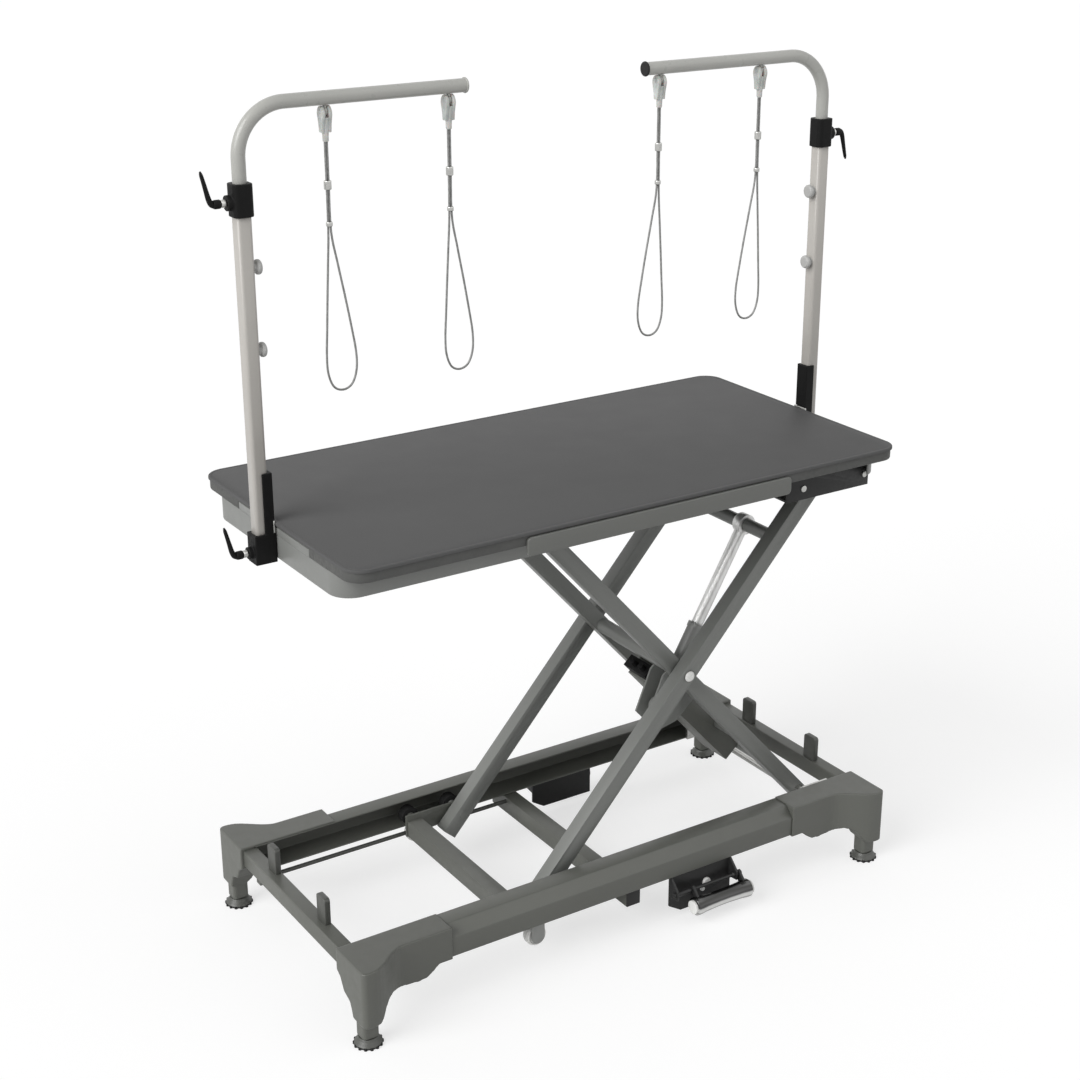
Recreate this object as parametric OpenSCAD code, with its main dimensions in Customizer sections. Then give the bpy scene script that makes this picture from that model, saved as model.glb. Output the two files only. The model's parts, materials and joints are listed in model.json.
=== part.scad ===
// Electric grooming table: scissor lift, levelling base, two overhead arms with nooses.
// X runs along the table, Y across it, Z up; the origin is on the floor under the centre.

/* [Table top] */
// Length of the mat
top_l = 1100; // [1000:10:1200]
// Width of the mat
top_w = 556; // [540:2:600]
// Thickness of the rubber mat
mat_t = 5; // [3:1:8]
// Thickness of the board under the mat
board_t = 18; // [12:1:20]
// Corner radius of the mat
top_r = 36; // [20:2:60]
// Depth of the apron below the board
apron_h = 40; // [32:1:46]
// Inset of the end aprons from the mat's short edge
apron_inset = 2; // [1:0.5:6]
// Inset of the side aprons from the mat's long edge
apron_side = 46; // [40:1:48]
// Wall of the apron
apron_t = 4; // [3:1:5]
// Start of the front panel from the mat's left edge
panel_start = 310; // [280:5:340]
// End of the front panel from the mat's right edge
panel_end = 253; // [230:1:280]
// Height of the front panel
panel_h = 32; // [28:1:38]

/* [Lift] */
// Pin to pin length of a scissor arm
arm_span = 897; // [860:1:910]
// Angle of the arms as modelled, raised
lift_angle = 48.1; // [40:0.5:50]
// Height of an arm tube
arm_h = 30; // [26:1:34]
// Thickness of an arm tube
arm_t = 28; // [24:1:30]
// Wall of an arm tube
arm_wall = 2.5; // [2:0.5:3]
// Middle plane of the outer arms from the centre
outer_y = 152; // [148:1:156]
// Gap between the outer and inner arms
arm_gap = 3; // [2:0.5:5]
// Diameter of the pivot pins
pin_d = 16; // [12:1:18]
// Diameter of the rollers
roller_d = 34; // [30:1:36]
// Width of a roller
roller_w = 18; // [12:1:20]
// Inset of the fixed pivots from the mat's right edge
fixed_inset = 75; // [65:1:85]
// Distance of the crossbar from the centre pivot along the outer arms
crossbar_s = 297; // [280:1:310]
// Diameter of the crossbar
crossbar_d = 25; // [22:1:30]

/* [Drive] */
// Length of the drive housing
drive_l = 285; // [240:5:290]
// Width of the drive housing
drive_w = 76; // [60:2:80]
// Height of the drive housing
drive_h = 54; // [44:2:60]
// Diameter of the strut's outer tube
strut_tube_d = 30; // [28:1:34]
// Diameter of the strut's push rod
strut_rod_d = 22; // [18:1:24]

/* [Base] */
// Inset of the feet's centres from the mat's short edges
feet_inset = 5; // [0:1:15]
// Width between the centres of the feet
feet_w = 514; // [506:2:524]
// Underside height of the base rails
rail_z = 94; // [88:1:100]
// Height of the base rails
rail_h = 56; // [50:1:62]
// Inner face of the base rails from the centre
rail_in_y = 188; // [186:1:192]
// Width of the base rails
rail_w = 53; // [48:1:56]
// Chamfer on the outer top edge of a rail
rail_chamfer = 19; // [12:1:22]
// Wall of a rail
rail_wall = 3; // [2:0.5:4]
// Side of a square leg
leg_s = 30; // [28:1:34]
// Diameter of a levelling foot
foot_d = 52; // [44:2:60]
// Height of a table stop above the end tube
stop_h = 50; // [40:1:60]
// Diameter of a castor wheel
castor_d = 40; // [34:2:44]
// Diameter of the pedal bar
pedal_d = 34; // [28:1:38]
// Length of the pedal bar
pedal_l = 135; // [110:5:140]

/* [Grooming arms] */
// Distance of a post's axis from the mat's short edge
post_gap = 19; // [17:1:25]
// Side of the square post
post_s = 25; // [24:0.5:28]
// Height of the post's top end
post_top = 1345; // [1250:5:1400]
// Diameter of the curved tube
tube_d = 22; // [20:0.5:22]
// Height of the horizontal part of the curved tube
arm_z = 1503; // [1450:5:1560]
// Bend radius of the curved tube
bend_r = 78; // [60:2:90]
// Reach of the curved tube from the post's axis to its free end
arm_reach = 393; // [370:1:420]
// Distance of the inner noose from the curved tube's free end
noose_end_gap = 30; // [25:1:40]
// Distance of the outer noose from the post's axis
noose_post_gap = 146; // [130:1:170]
// Diameter of the noose's cable
cable_d = 3.6; // [3.2:0.1:3.8]

/* [Hidden] */
$fn = 48;

// Running clearance of a pin in its bore, on the radius
run = 0.05;
// Clearance between parts that slide past each other
slide_gap = 0.3;

// Colours
FRAME = "#575a54";
FRAME_LIGHT = "#8f928c";
BLACK = "#1b1b1a";
MAT = "#4c4d4b";
STEEL = "#b9b8b2";
CHROME = "#d8d8d6";
WHITE = "#ecece8";

// Places that follow the table's length
fixed_x = top_l/2 - fixed_inset;
feet_l = top_l - 2*feet_inset;
post_x = top_l/2 + post_gap;
tube_end_x = post_x - arm_reach;
noose_x = [tube_end_x + noose_end_gap, post_x - noose_post_gap];

// Heights worked out from the floor up
low_z = rail_z + rail_wall + roller_d/2 + slide_gap;
high_z = low_z + arm_span*sin(lift_angle);
left_x = fixed_x - arm_span*cos(lift_angle);
mid_x = (fixed_x + left_x)/2;
mid_z = (low_z + high_z)/2;
chan_wall = 4;
chan_z0 = high_z - roller_d/2 - slide_gap - chan_wall;
chan_z1 = high_z + roller_d/2 + slide_gap + chan_wall;
cross_rail_h = 21.8;
board_z = chan_z1 + cross_rail_h;
mat_z = board_z + board_t;
top_z = mat_z + mat_t;
apron_z = board_z - apron_h;

// Widths across the lift
inner_y = outer_y - arm_t - arm_gap;
outer_face = outer_y + arm_t/2;
inner_face = inner_y - arm_t/2;
side_plate_y = outer_face + 3.5;
side_plate_t = 4;
roller_y = rail_in_y + 7;
chan_y0 = 178;
chan_y1 = 215;
track_y0 = inner_y + arm_t/2 + 3;
track_y1 = track_y0 + chan_y1 - chan_y0;
track_x0 = -top_l/2 + 70;
track_x1 = left_x + 65;
chan_x0 = fixed_x - 130;
chan_x1 = top_l/2 - 15;
top_roller_y = track_y0 + 8;

// Ends of the base
tube_w = 28;
tube_h = 32;
tube_z = rail_z + 21;
tube_in_x = feet_l/2 - 15;
rail_end = tube_in_x + 6;
shoe_end = feet_l/2 + 19;
shoe_side = feet_w/2 + 29;
shoe_skin = 2.5;
shoe_start = tube_in_x - 158;
rail_out_y = rail_in_y + rail_w;

// Strut pivots in the frame of the inner arms, from the centre pivot
strut_s = 85;
strut_p = 62;
strut_y = -62;
strut_tube_l = 170;
strut_rod_l = 228;
bar_x = mid_x + crossbar_s*cos(lift_angle);
bar_z = mid_z + crossbar_s*sin(lift_angle);
tail_x = mid_x + strut_s*cos(lift_angle) - strut_p*sin(lift_angle);
tail_z = mid_z - strut_s*sin(lift_angle) - strut_p*cos(lift_angle);
strut_len = sqrt(pow(bar_x - tail_x, 2) + pow(bar_z - tail_z, 2));
strut_angle = atan2(bar_z - tail_z, bar_x - tail_x);

// Eyes under the curved tubes, and their pins
eye_drop = 20;
eye_t = 5;
eye_pin = 6;

// Places of the carriage, pedals, castors and clamps
carriage_x = left_x - 90;
carriage_w = 30;
carriage_z0 = low_z - 32;
carriage_z1 = low_z;
guide_y = 181;
guide_z = 85;
guide_d = 8;
member_x = 12;
member_w = 30;
castor_x = -190;
castor_y = 215;
castor_z = 62;
pedal_x = 184.5;
pedal_y = 270;
pedal_z = 38;
pedal_pivot_y = 251;
pedal_pivot_z = 62;
clamp_x0 = top_l/2 - apron_inset;
clamp_x1 = post_x + 17;
clamp_z0 = apron_z - 5;
clamp_z1 = board_z + 5;
clamp_half = 16;
clamp_lever_z = clamp_z0 + 19;
collar_z0 = post_top - 6;
collar_z1 = post_top + 44;
collar_half = 16.5;
collar_r = 9;
boss_l = 8;
boss_d = 24;
lever_z = post_top + 16;

// Points down a noose: half its width, how far its middle leans, depth below the curved tube
noose_rows = [[2, 0, 63], [2, 0, 132], [2.6, 0, 204], [8.5, 3, 256], [15.5, 6.5, 310], [21.5, 9.5, 360],
  [26, 11.5, 402], [25, 12, 432], [16, 12, 454]];
noose_low = [[12, 461]];

module along_x(x0, x1) {
  translate([x0, 0, 0]) rotate([90, 0, 90]) linear_extrude(x1 - x0) children();
}
module along_y(y0, y1) {
  translate([0, y1, 0]) rotate([90, 0, 0]) linear_extrude(y1 - y0) children();
}
module rod_y(x, z, y0, y1, d) {
  translate([x, y0, z]) rotate([-90, 0, 0]) cylinder(d = d, h = y1 - y0);
}
module rod_x(y, z, x0, x1, d) {
  translate([x0, y, z]) rotate([0, 90, 0]) cylinder(d = d, h = x1 - x0);
}
module block(x0, x1, y0, y1, z0, z1) {
  translate([x0, y0, z0]) cube([x1 - x0, y1 - y0, z1 - z0]);
}
module round_rect(w, h, r) {
  square([w - 2*r, h], center = true);
  square([w, h - 2*r], center = true);
  for (sx = [-1, 1], sy = [-1, 1])
    translate([sx*(w/2 - r), sy*(h/2 - r)]) circle(r);
}
module both_sides() {
  children();
  mirror([0, 1, 0]) children();
}
module both_ends() {
  children();
  mirror([1, 0, 0]) children();
}
module four_corners() {
  both_sides() both_ends() children();
}

// Base rails: C channels open inwards, the lower rollers run on their lower flange
module rail_outline() {
  polygon([[rail_in_y, rail_z], [rail_out_y, rail_z], [rail_out_y, rail_z + rail_h - rail_chamfer],
    [rail_out_y - rail_chamfer, rail_z + rail_h], [rail_in_y, rail_z + rail_h]]);
}
module rail_hollow() {
  c = rail_chamfer - rail_wall*0.6;
  polygon([[rail_in_y - 1, rail_z + rail_wall], [rail_out_y - rail_wall, rail_z + rail_wall],
    [rail_out_y - rail_wall, rail_z + rail_h - rail_wall - c],
    [rail_out_y - rail_wall - c, rail_z + rail_h - rail_wall], [rail_in_y - 1, rail_z + rail_h - rail_wall]]);
}
module rail() {
  along_x(-rail_end, rail_end) difference() {
    rail_outline();
    rail_hollow();
  }
}
module front_rail() { color(FRAME) mirror([0, 1, 0]) rail(); }
module rear_rail() { color(FRAME) rail(); }

// Corner shoes: castings that swell outwards over the rail's end and carry the legs
shoe_steps = 10;
swell_x0 = shoe_start + 93;
swell_x1 = shoe_end - 17;
function shoe_curve(i) = let(t = i/shoe_steps)
  [swell_x0 + t*(swell_x1 - swell_x0),
   rail_out_y + shoe_skin + (shoe_side - rail_out_y - shoe_skin)*(1 - cos(180*t))/2];
module shoe_plan() {
  r = 9;
  polygon(concat([[shoe_start, rail_in_y], [shoe_start, rail_out_y + shoe_skin]],
    [for (i = [0:shoe_steps]) shoe_curve(i)],
    [for (a = [90:-15:0]) [shoe_end - r + r*cos(a), shoe_side - r + r*sin(a)]],
    [[shoe_end, rail_in_y]]));
}
module shoe_side_profile() {
  leg_in = feet_l/2 - leg_s/2 - 6;
  under = rail_z - 3;
  polygon([[shoe_start, rail_z + rail_h + shoe_skin], [shoe_start, under], [shoe_start + 26, under],
    [shoe_start + 38, under - 10], [shoe_start + 50, under - 18], [shoe_start + 66, under - 20],
    [shoe_start + 90, under - 18], [leg_in - 30, under - 14], [leg_in - 18, under - 16],
    [leg_in - 8, under - 24], [leg_in, under - 38], [leg_in + 8, 46], [shoe_end, 46],
    [shoe_end, rail_z + rail_h + shoe_skin]]);
}
module shoe_end_profile() {
  leg_in = feet_w/2 - leg_s/2 - 4;
  polygon([[rail_in_y, rail_z + rail_h + shoe_skin], [rail_in_y, tube_z - 4], [rail_in_y + 12, tube_z - 12],
    [rail_in_y + 24, tube_z - 34], [leg_in - 6, tube_z - 42], [leg_in, tube_z - 56], [leg_in + 4, 46],
    [shoe_side + 1, 46], [shoe_side + 1, rail_z + rail_h + shoe_skin]]);
}
module corner_shoe() {
  difference() {
    union() {
      intersection() {
        linear_extrude(200) shoe_plan();
        along_y(0, shoe_side + 2) shoe_side_profile();
        along_x(0, shoe_end + 2) shoe_end_profile();
      }
      translate([feet_l/2, feet_w/2, 16]) linear_extrude(40) round_rect(leg_s, leg_s, 6);
    }
    along_x(shoe_start - 1, rail_end) rail_outline();
    translate([feet_l/2, feet_w/2, 10]) cylinder(d = 12 + 2*slide_gap, h = 36);
  }
}
module corner_shoes() { color(FRAME) four_corners() corner_shoe(); }

// End tubes between the shoes, with the lug that holds the guide rod
module end_tubes() {
  color(FRAME) {
    both_ends() along_y(-rail_in_y, rail_in_y)
      translate([tube_in_x + tube_w/2, tube_z + tube_h/2]) difference() {
        round_rect(tube_w, tube_h, 3);
        round_rect(tube_w - 5, tube_h - 5, 1);
      }
    difference() {
      block(-tube_in_x - 6, -tube_in_x, guide_y - 9, rail_in_y, guide_z - 9, tube_z + 4);
      rod_x(guide_y, guide_z, -tube_in_x - 7, -tube_in_x + 1, guide_d);
    }
  }
}

// Flat uprights that the lowered table rests on
stop_y = 97;
stop_w = 32;
stop_t = 11;
stop_r = 6;
module table_stop() {
  x0 = tube_in_x + 3;
  along_x(x0, x0 + stop_t) union() {
    translate([stop_y - stop_w/2, tube_z + tube_h]) square([stop_w, stop_h - stop_r]);
    translate([stop_y - stop_w/2 + stop_r, tube_z + tube_h]) square([stop_w - 2*stop_r, stop_h]);
    for (side = [-1, 1])
      translate([stop_y + side*(stop_w/2 - stop_r), tube_z + tube_h + stop_h - stop_r]) circle(stop_r);
  }
}
module table_stops() { color(FRAME) four_corners() table_stop(); }

// Cross channel bolted under both rails
member_h = 34;
module cross_member() {
  member_y = rail_out_y - 9;
  color(FRAME) {
    along_y(-member_y, member_y) translate([member_x - member_w/2, rail_z - member_h]) difference() {
      square([member_w, member_h]);
      translate([3, -1]) square([member_w - 6, member_h - 2]);
    }
    both_sides() along_y(member_y - 3, member_y) translate([member_x - member_w/2, rail_z - member_h])
      square([member_w, member_h]);
  }
}
module guide_rod() {
  color(STEEL) rod_x(guide_y, guide_z, -tube_in_x - 6, member_x - member_w/2, guide_d);
}

// Brackets that carry the foot pedals, on both long sides
pedal_half = pedal_l/2;
bracket_t = 4;
bracket_z0 = 14;
bracket_x1 = pedal_x + pedal_half - 20;
pedal_out = 25;
pedal_pin = 10;
module pedal_bracket() {
  face_y = rail_out_y - 7;
  x0 = pedal_x - pedal_half - pedal_out;
  along_y(face_y - bracket_t, face_y) polygon([[x0, rail_z], [bracket_x1, rail_z], [bracket_x1, bracket_z0],
    [x0 + 26, bracket_z0], [x0, bracket_z0 + 16]]);
  for (x = [x0, bracket_x1 - bracket_t]) difference() {
    along_x(x, x + bracket_t) polygon([[face_y - 1, rail_z], [face_y - 1, rail_z - 44],
      [pedal_pivot_y + 7, pedal_pivot_z - 9], [pedal_pivot_y + 7, pedal_pivot_z + 8]]);
    rod_x(pedal_pivot_y, pedal_pivot_z, x - 1, x + bracket_t + 1, pedal_pin + 2*run);
  }
  for (p = [[-9, 38, 16], [-18, 50, 8]]) rod_y(pedal_x + p[0], rail_z - p[1], face_y - 1, face_y + 4, p[2]);
}
module pedal_brackets() { color(BLACK) both_sides() pedal_bracket(); }

module pedal() {
  x0 = pedal_x - pedal_half;
  x1 = pedal_x + pedal_half;
  rod_x(pedal_pivot_y, pedal_pivot_z, x0 - pedal_out - 3, bracket_x1 + 11, pedal_pin);
  for (x = [x0 + 12, bracket_x1 + 3]) along_x(x, x + 5) polygon([
    [pedal_pivot_y - 8, pedal_pivot_z + 1], [pedal_pivot_y + 2, pedal_pivot_z + 9],
    [pedal_y + 6, pedal_z + 10], [pedal_y - 4, pedal_z - 8]]);
  translate([x0, pedal_y, pedal_z]) rotate([90, 0, 90]) rotate_extrude() polygon([[0, 0],
    [pedal_d/2 - 4, 0], [pedal_d/2 - 4, 5], [pedal_d/2, 6], [pedal_d/2, 16], [pedal_d/2 - 2, pedal_half],
    [pedal_d/2, pedal_l - 16], [pedal_d/2, pedal_l - 6], [pedal_d/2 - 4, pedal_l - 5],
    [pedal_d/2 - 4, pedal_l], [0, pedal_l]]);
}
module front_pedal() { color(CHROME) mirror([0, 1, 0]) pedal(); }
module rear_pedal() { color(CHROME) pedal(); }

// Transport castors under the rails
castor_w = 18;
module castor_bracket() {
  block(castor_x - 16, castor_x + 16, castor_y - 16, castor_y + 16, rail_z - 3, rail_z);
  for (y = [castor_y - castor_w/2 - 4.5, castor_y + castor_w/2 + 1.5]) along_y(y, y + 3) union() {
    translate([castor_x - 13, castor_z]) square([26, rail_z - 3 - castor_z]);
    translate([castor_x, castor_z]) circle(13);
  }
  rod_y(castor_x, castor_z, castor_y - castor_w/2 - 4.5, castor_y + castor_w/2 + 4.5, 8);
}
module castor_brackets() { color(BLACK) both_sides() castor_bracket(); }
module castor_wheel() {
  difference() {
    rod_y(castor_x, castor_z, castor_y - castor_w/2, castor_y + castor_w/2, castor_d);
    rod_y(castor_x, castor_z, castor_y - castor_w, castor_y + castor_w, 8 + 2*run);
  }
}
module castor_wheels() { color(WHITE) both_sides() castor_wheel(); }

// Levelling foot: pad, flared skirt and threaded stem
module foot() {
  translate([feet_l/2, feet_w/2, 0]) {
    cylinder(d = foot_d, h = 5);
    translate([0, 0, 5]) cylinder(d1 = foot_d - 2, d2 = leg_s + 2, h = 16 - slide_gap - 5, $fn = 48);
    cylinder(d = 12, h = 42);
  }
}
module rear_right_foot() { color(BLACK) foot(); }
module rear_left_foot() { color(BLACK) mirror([1, 0, 0]) foot(); }
module front_right_foot() { color(BLACK) mirror([0, 1, 0]) foot(); }
module front_left_foot() { color(BLACK) mirror([1, 0, 0]) mirror([0, 1, 0]) foot(); }

// Fixed shaft at the right of the base, with its end plates
module lower_shaft() {
  color(STEEL) {
    rod_y(fixed_x, low_z, -rail_in_y + 5, rail_in_y - 5, pin_d);
    both_sides() block(fixed_x - 30, fixed_x + 30, rail_in_y - 6, rail_in_y, rail_z, rail_z + rail_h);
  }
}

// Scissor arms: rectangular tubes with a sleeve at every pin
arm_end = arm_h/2 - 1;
arm_tail = 48;
sleeve_d = pin_d + 10;
axle_end = roller_y + roller_w/2 + 2;
top_axle_end = top_roller_y + roller_w + 1;
module in_inner() {
  translate([mid_x, 0, mid_z]) rotate([0, lift_angle, 0]) children();
}
module in_outer() {
  translate([mid_x, 0, mid_z]) rotate([0, -lift_angle, 0]) children();
}
module arm_tube(y, x0, x1, pins) {
  difference() {
    union() {
      along_x(x0, x1) translate([y, 0]) difference() {
        square([arm_t, arm_h], center = true);
        square([arm_t - 2*arm_wall, arm_h - 2*arm_wall], center = true);
      }
      for (x = pins) rod_y(x, 0, y - arm_t/2, y + arm_t/2, sleeve_d);
    }
    for (x = pins) rod_y(x, 0, y - arm_t, y + arm_t, pin_d + 2*run);
  }
}
half_span = arm_span/2;

// Inner arms with their cross tubes, the cheeks of the strut's lower pivot and the upper axle
brace_s = [262, 350];
brace_d = 22;
cheek_gap = 17;
cheek_t = 4;
module inner_frame() {
  color(FRAME) {
    in_inner() {
      both_sides() arm_tube(inner_y, -half_span - arm_end, half_span + arm_end, [0, half_span]);
      rod_y(-half_span, 0, -top_axle_end, top_axle_end, pin_d);
      difference() {
        rod_y(0, 0, -inner_face - 1, inner_face + 1, sleeve_d + 2);
        rod_y(0, 0, -inner_face - 2, inner_face + 2, pin_d);
      }
      for (x = brace_s) rod_y(x, 0, -inner_face - 1, inner_face + 1, brace_d);
      for (y = [strut_y - cheek_gap - cheek_t, strut_y + cheek_gap]) along_y(y, y + cheek_t)
        polygon([[28, 14], [125, 14], [125, -strut_p], [strut_s + 20, -strut_p - 35],
          [strut_s - 20, -strut_p - 35], [28, -20]]);
      rod_y(40, 2, -inner_face - 1, strut_y - cheek_gap - 1, 20);
      rod_y(40, 2, strut_y + cheek_gap + 1, inner_face + 1, 20);
    }
  }
}
module centre_shaft() {
  color(STEEL) rod_y(mid_x, mid_z, -outer_face - 1, outer_face + 1, pin_d);
}

// Drive housing clamped on the braces, with its end cap and cable glands
drive_s = 60;
drive_top = 12;
module drive_housing() {
  color(FRAME) in_inner() difference() {
    translate([drive_s + drive_l/2, 0, drive_top - drive_h]) linear_extrude(drive_h)
      round_rect(drive_l, drive_w, 6);
    for (x = brace_s) rod_y(x, 0, -drive_w, drive_w, brace_d);
  }
}
module drive_end_cap() {
  color(BLACK) in_inner() {
    block(drive_s - 22, drive_s, -drive_w/2 + 4, drive_w/2 - 4, drive_top - drive_h + 4, -13);
    for (y = [-18, 8]) rod_x(y, -26, drive_s - 34, drive_s - 22, 12);
  }
}

// Rollers; each turns on its axle and is kept by a collar
module roller(x, z, y0) {
  color(BLACK) difference() {
    rod_y(x, z, y0, y0 + roller_w, roller_d);
    rod_y(x, z, y0 - 1, y0 + roller_w + 1, pin_d + 2*run);
  }
}
module upper_rollers() { both_sides() roller(left_x, high_z, top_roller_y); }
module lower_rollers() { both_sides() roller(left_x, low_z, roller_y - roller_w/2); }
module carriage_rollers() { both_sides() roller(carriage_x, low_z, roller_y - roller_w/2); }

// Outer arms with the crossbar of the strut and the stubs of the lower axle
module outer_frame() {
  color(FRAME) in_outer() {
    both_sides() arm_tube(outer_y, -half_span - arm_tail, half_span + arm_end, [0, half_span]);
    both_sides() rod_y(-half_span, 0, outer_y - arm_t/2 - 1, axle_end, pin_d);
    rod_y(crossbar_s, 0, -outer_y + arm_t/2 - 1, outer_y - arm_t/2 + 1, crossbar_d);
  }
}
module pivot_caps() {
  color(WHITE) both_sides() translate([mid_x, outer_face + 1, mid_z]) rotate([-90, 0, 0])
    rotate_extrude() polygon([[0, 0], [10, 0], [10, 2], [8, 4], [0, 4.5]]);
}

// Carriage of the outer arms: cross channel, side plates and axle stubs
module carriage() {
  color(FRAME) difference() {
    union() {
      along_y(-side_plate_y - 1, side_plate_y + 1) translate([carriage_x - carriage_w/2, carriage_z0])
        difference() {
          square([carriage_w, carriage_z1 - carriage_z0]);
          translate([3, -1]) square([carriage_w - 6, carriage_z1 - carriage_z0 - 2]);
        }
      both_sides() along_y(side_plate_y, side_plate_y + side_plate_t) polygon([
        [carriage_x - 18, carriage_z0], [carriage_x + 18, carriage_z0], [left_x + 14, low_z - 12],
        [left_x + 14, low_z + 12], [carriage_x - 18, low_z + 12]]);
      both_sides() rod_y(carriage_x, low_z, side_plate_y + 1, axle_end, pin_d);
    }
    rod_y(left_x, low_z, -rail_in_y, rail_in_y, pin_d + 2*run);
    rod_x(guide_y, guide_z, carriage_x - 40, carriage_x + 40, guide_d + 2*slide_gap);
  }
}
module guide_bush() {
  color(WHITE) difference() {
    block(carriage_x - 14, carriage_x + 14, side_plate_y + side_plate_t, guide_y + 5.5,
      guide_z - 6, guide_z + 6);
    rod_x(guide_y, guide_z, carriage_x - 15, carriage_x + 15, guide_d + 2*run);
  }
}

// Lifting strut: tube with a closed foot, and a rod that slides in it and hinges on the crossbar
module in_strut() {
  translate([tail_x, strut_y, tail_z]) rotate([0, -strut_angle, 0]) children();
}
module strut_tube() {
  color(FRAME_LIGHT) in_strut() difference() {
    union() {
      rod_x(0, 0, 0, strut_tube_l, strut_tube_d);
      rod_x(0, 0, strut_tube_l - 10, strut_tube_l, strut_tube_d + 3);
      rod_y(0, 0, -12, 12, strut_tube_d);
    }
    rod_x(0, 0, 14, strut_tube_l + 1, strut_rod_d + 2*run);
    rod_y(0, 0, -13, 13, 12);
  }
}
module strut_rod() {
  color(CHROME) in_strut() difference() {
    union() {
      rod_x(0, 0, strut_len - strut_rod_l, strut_len - 8, strut_rod_d);
      rod_y(strut_len, 0, -10, 10, crossbar_d + 13);
    }
    rod_y(strut_len, 0, -11, 11, crossbar_d + 2*run);
  }
}

// Table top
apron_x = top_l/2 - apron_inset;
apron_y = top_w/2 - apron_side;
apron_arm = 45;
apron_end = 30;
apron_lip = 17;
flange_half = chan_y0 - 1;
strip_half = 130;
strip_h = 13;
panel_x0 = -top_l/2 + panel_start;
panel_x1 = top_l/2 - panel_end;
module mat() {
  color(MAT) translate([0, 0, mat_z]) linear_extrude(mat_t) round_rect(top_l, top_w, top_r);
}
module board() {
  color(FRAME_LIGHT) difference() {
    translate([0, 0, board_z]) linear_extrude(board_t) round_rect(top_l - 4, top_w - 6, top_r - 2);
    both_ends() block(apron_x - apron_t - slide_gap, top_l, -strip_half - slide_gap, strip_half + slide_gap,
      board_z - 1, board_z + strip_h);
  }
}
module apron_ring() {
  difference() {
    round_rect(2*apron_x, 2*apron_y, 40);
    round_rect(2*apron_x - 2*apron_t, 2*apron_y - 2*apron_t, 36);
  }
}
module aprons() {
  color(FRAME_LIGHT) {
    intersection() {
      translate([0, 0, apron_z]) linear_extrude(apron_h) apron_ring();
      union() {
        block(-apron_x - 1, -apron_x + apron_arm, -apron_y - 1, apron_y + 1, 0, board_z + 1);
        block(apron_x - apron_end, apron_x + 1, -apron_y - 1, apron_y + 1, 0, board_z + 1);
      }
    }
    both_ends() block(apron_x - apron_t - apron_lip, apron_x - 1, -flange_half, flange_half, apron_z,
      apron_z + apron_t);
    both_sides() block(-apron_x + apron_arm - 1, panel_x0 + 40, apron_y - apron_t, apron_y, apron_z, board_z);
  }
}
module edge_strips() {
  color(FRAME_LIGHT) both_ends()
    block(apron_x - apron_t, apron_x, -strip_half, strip_half, board_z, board_z + strip_h);
}
panel_t = 6;
panel_drop = 3;
module side_panels() {
  color(FRAME_LIGHT) both_sides() along_y(top_w/2 - panel_t/2, top_w/2 + panel_t/2)
    translate([(panel_x0 + panel_x1)/2, mat_z - panel_drop - panel_h/2])
      round_rect(panel_x1 - panel_x0, panel_h, 8);
}

// Frame under the board: tracks for the upper rollers, cross rails, side channels and fixed upper pivots
plate_y = outer_face + 4;
plate_top = 38;
plate_low = 24;
cross_rail_in = 150;
cross_rail_inset = 138;
cross_rail_out = apron_x - cross_rail_inset;
cross_rail_w = 40;
module channel_section(y0, y1) {
  difference() {
    translate([y0, chan_z0]) square([y1 - y0, chan_z1 - chan_z0]);
    translate([y0 - 1, chan_z0 + chan_wall])
      square([y1 - y0 - chan_wall + 1, chan_z1 - chan_z0 - 2*chan_wall]);
  }
}
module top_frame() {
  color(FRAME) {
    both_sides() along_x(track_x0, track_x1) channel_section(track_y0, track_y1);
    both_sides() along_x(chan_x0, chan_x1) channel_section(chan_y0, chan_y1);
    for (x = [-cross_rail_out, -cross_rail_in, cross_rail_in, cross_rail_out])
      along_y(-apron_y + 8, apron_y - 8) translate([x - cross_rail_w/2, chan_z1]) difference() {
        square([cross_rail_w, board_z - chan_z1]);
        translate([3, -1]) square([cross_rail_w - 6, board_z - chan_z1 - 2]);
      }
    both_sides() along_y(plate_y, chan_y0 + 1) polygon([[fixed_x - plate_top, chan_z1],
      [fixed_x - plate_low, chan_z0], [fixed_x + plate_low, chan_z0], [fixed_x + plate_top, chan_z1]]);
    rod_y(fixed_x, high_z, -plate_y - 1, plate_y + 1, pin_d);
  }
}
end_bolt_inset = 24;
end_bolt_d = 8;
bolt_inset = 167;
bolt_d = 12;
module top_bolts() {
  color(STEEL) both_sides() {
    rod_y(apron_x - end_bolt_inset, (chan_z0 + chan_z1)/2, chan_y1, chan_y1 + 3, end_bolt_d);
    rod_y(apron_x - bolt_inset, (chan_z0 + chan_z1)/2, chan_y1, chan_y1 + 3, bolt_d);
  }
}

// Grooming arms, drawn for the right end
module square_tube(w) {
  round_rect(w, w, 6);
}
module clamp() {
  color(BLACK) difference() {
    union() {
      block(top_l/2 - 1, clamp_x1, -clamp_half, clamp_half, clamp_z0, clamp_z1);
      block(clamp_x0, top_l/2, -clamp_half + 4, clamp_half - 4, clamp_z0 + 10, clamp_z1 - 7);
      block(post_x - post_s/2 - 6, post_x - 1, -post_s/2 - 3, post_s/2, clamp_z1 - 1, clamp_z1 + 102);
      rod_x(0, clamp_lever_z, clamp_x1 - 1, clamp_x1 + boss_l, boss_d - 4);
    }
    block(top_l/2 - 1, top_l/2 + 3.5, -20, 20, clamp_z1, top_z + 3);
    translate([post_x, 0, clamp_z0 - 1]) linear_extrude(400) square_tube(post_s + 2*slide_gap);
    rod_x(0, clamp_lever_z, post_x, clamp_x1 + boss_l + 1, 8 + 2*run);
  }
}
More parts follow.
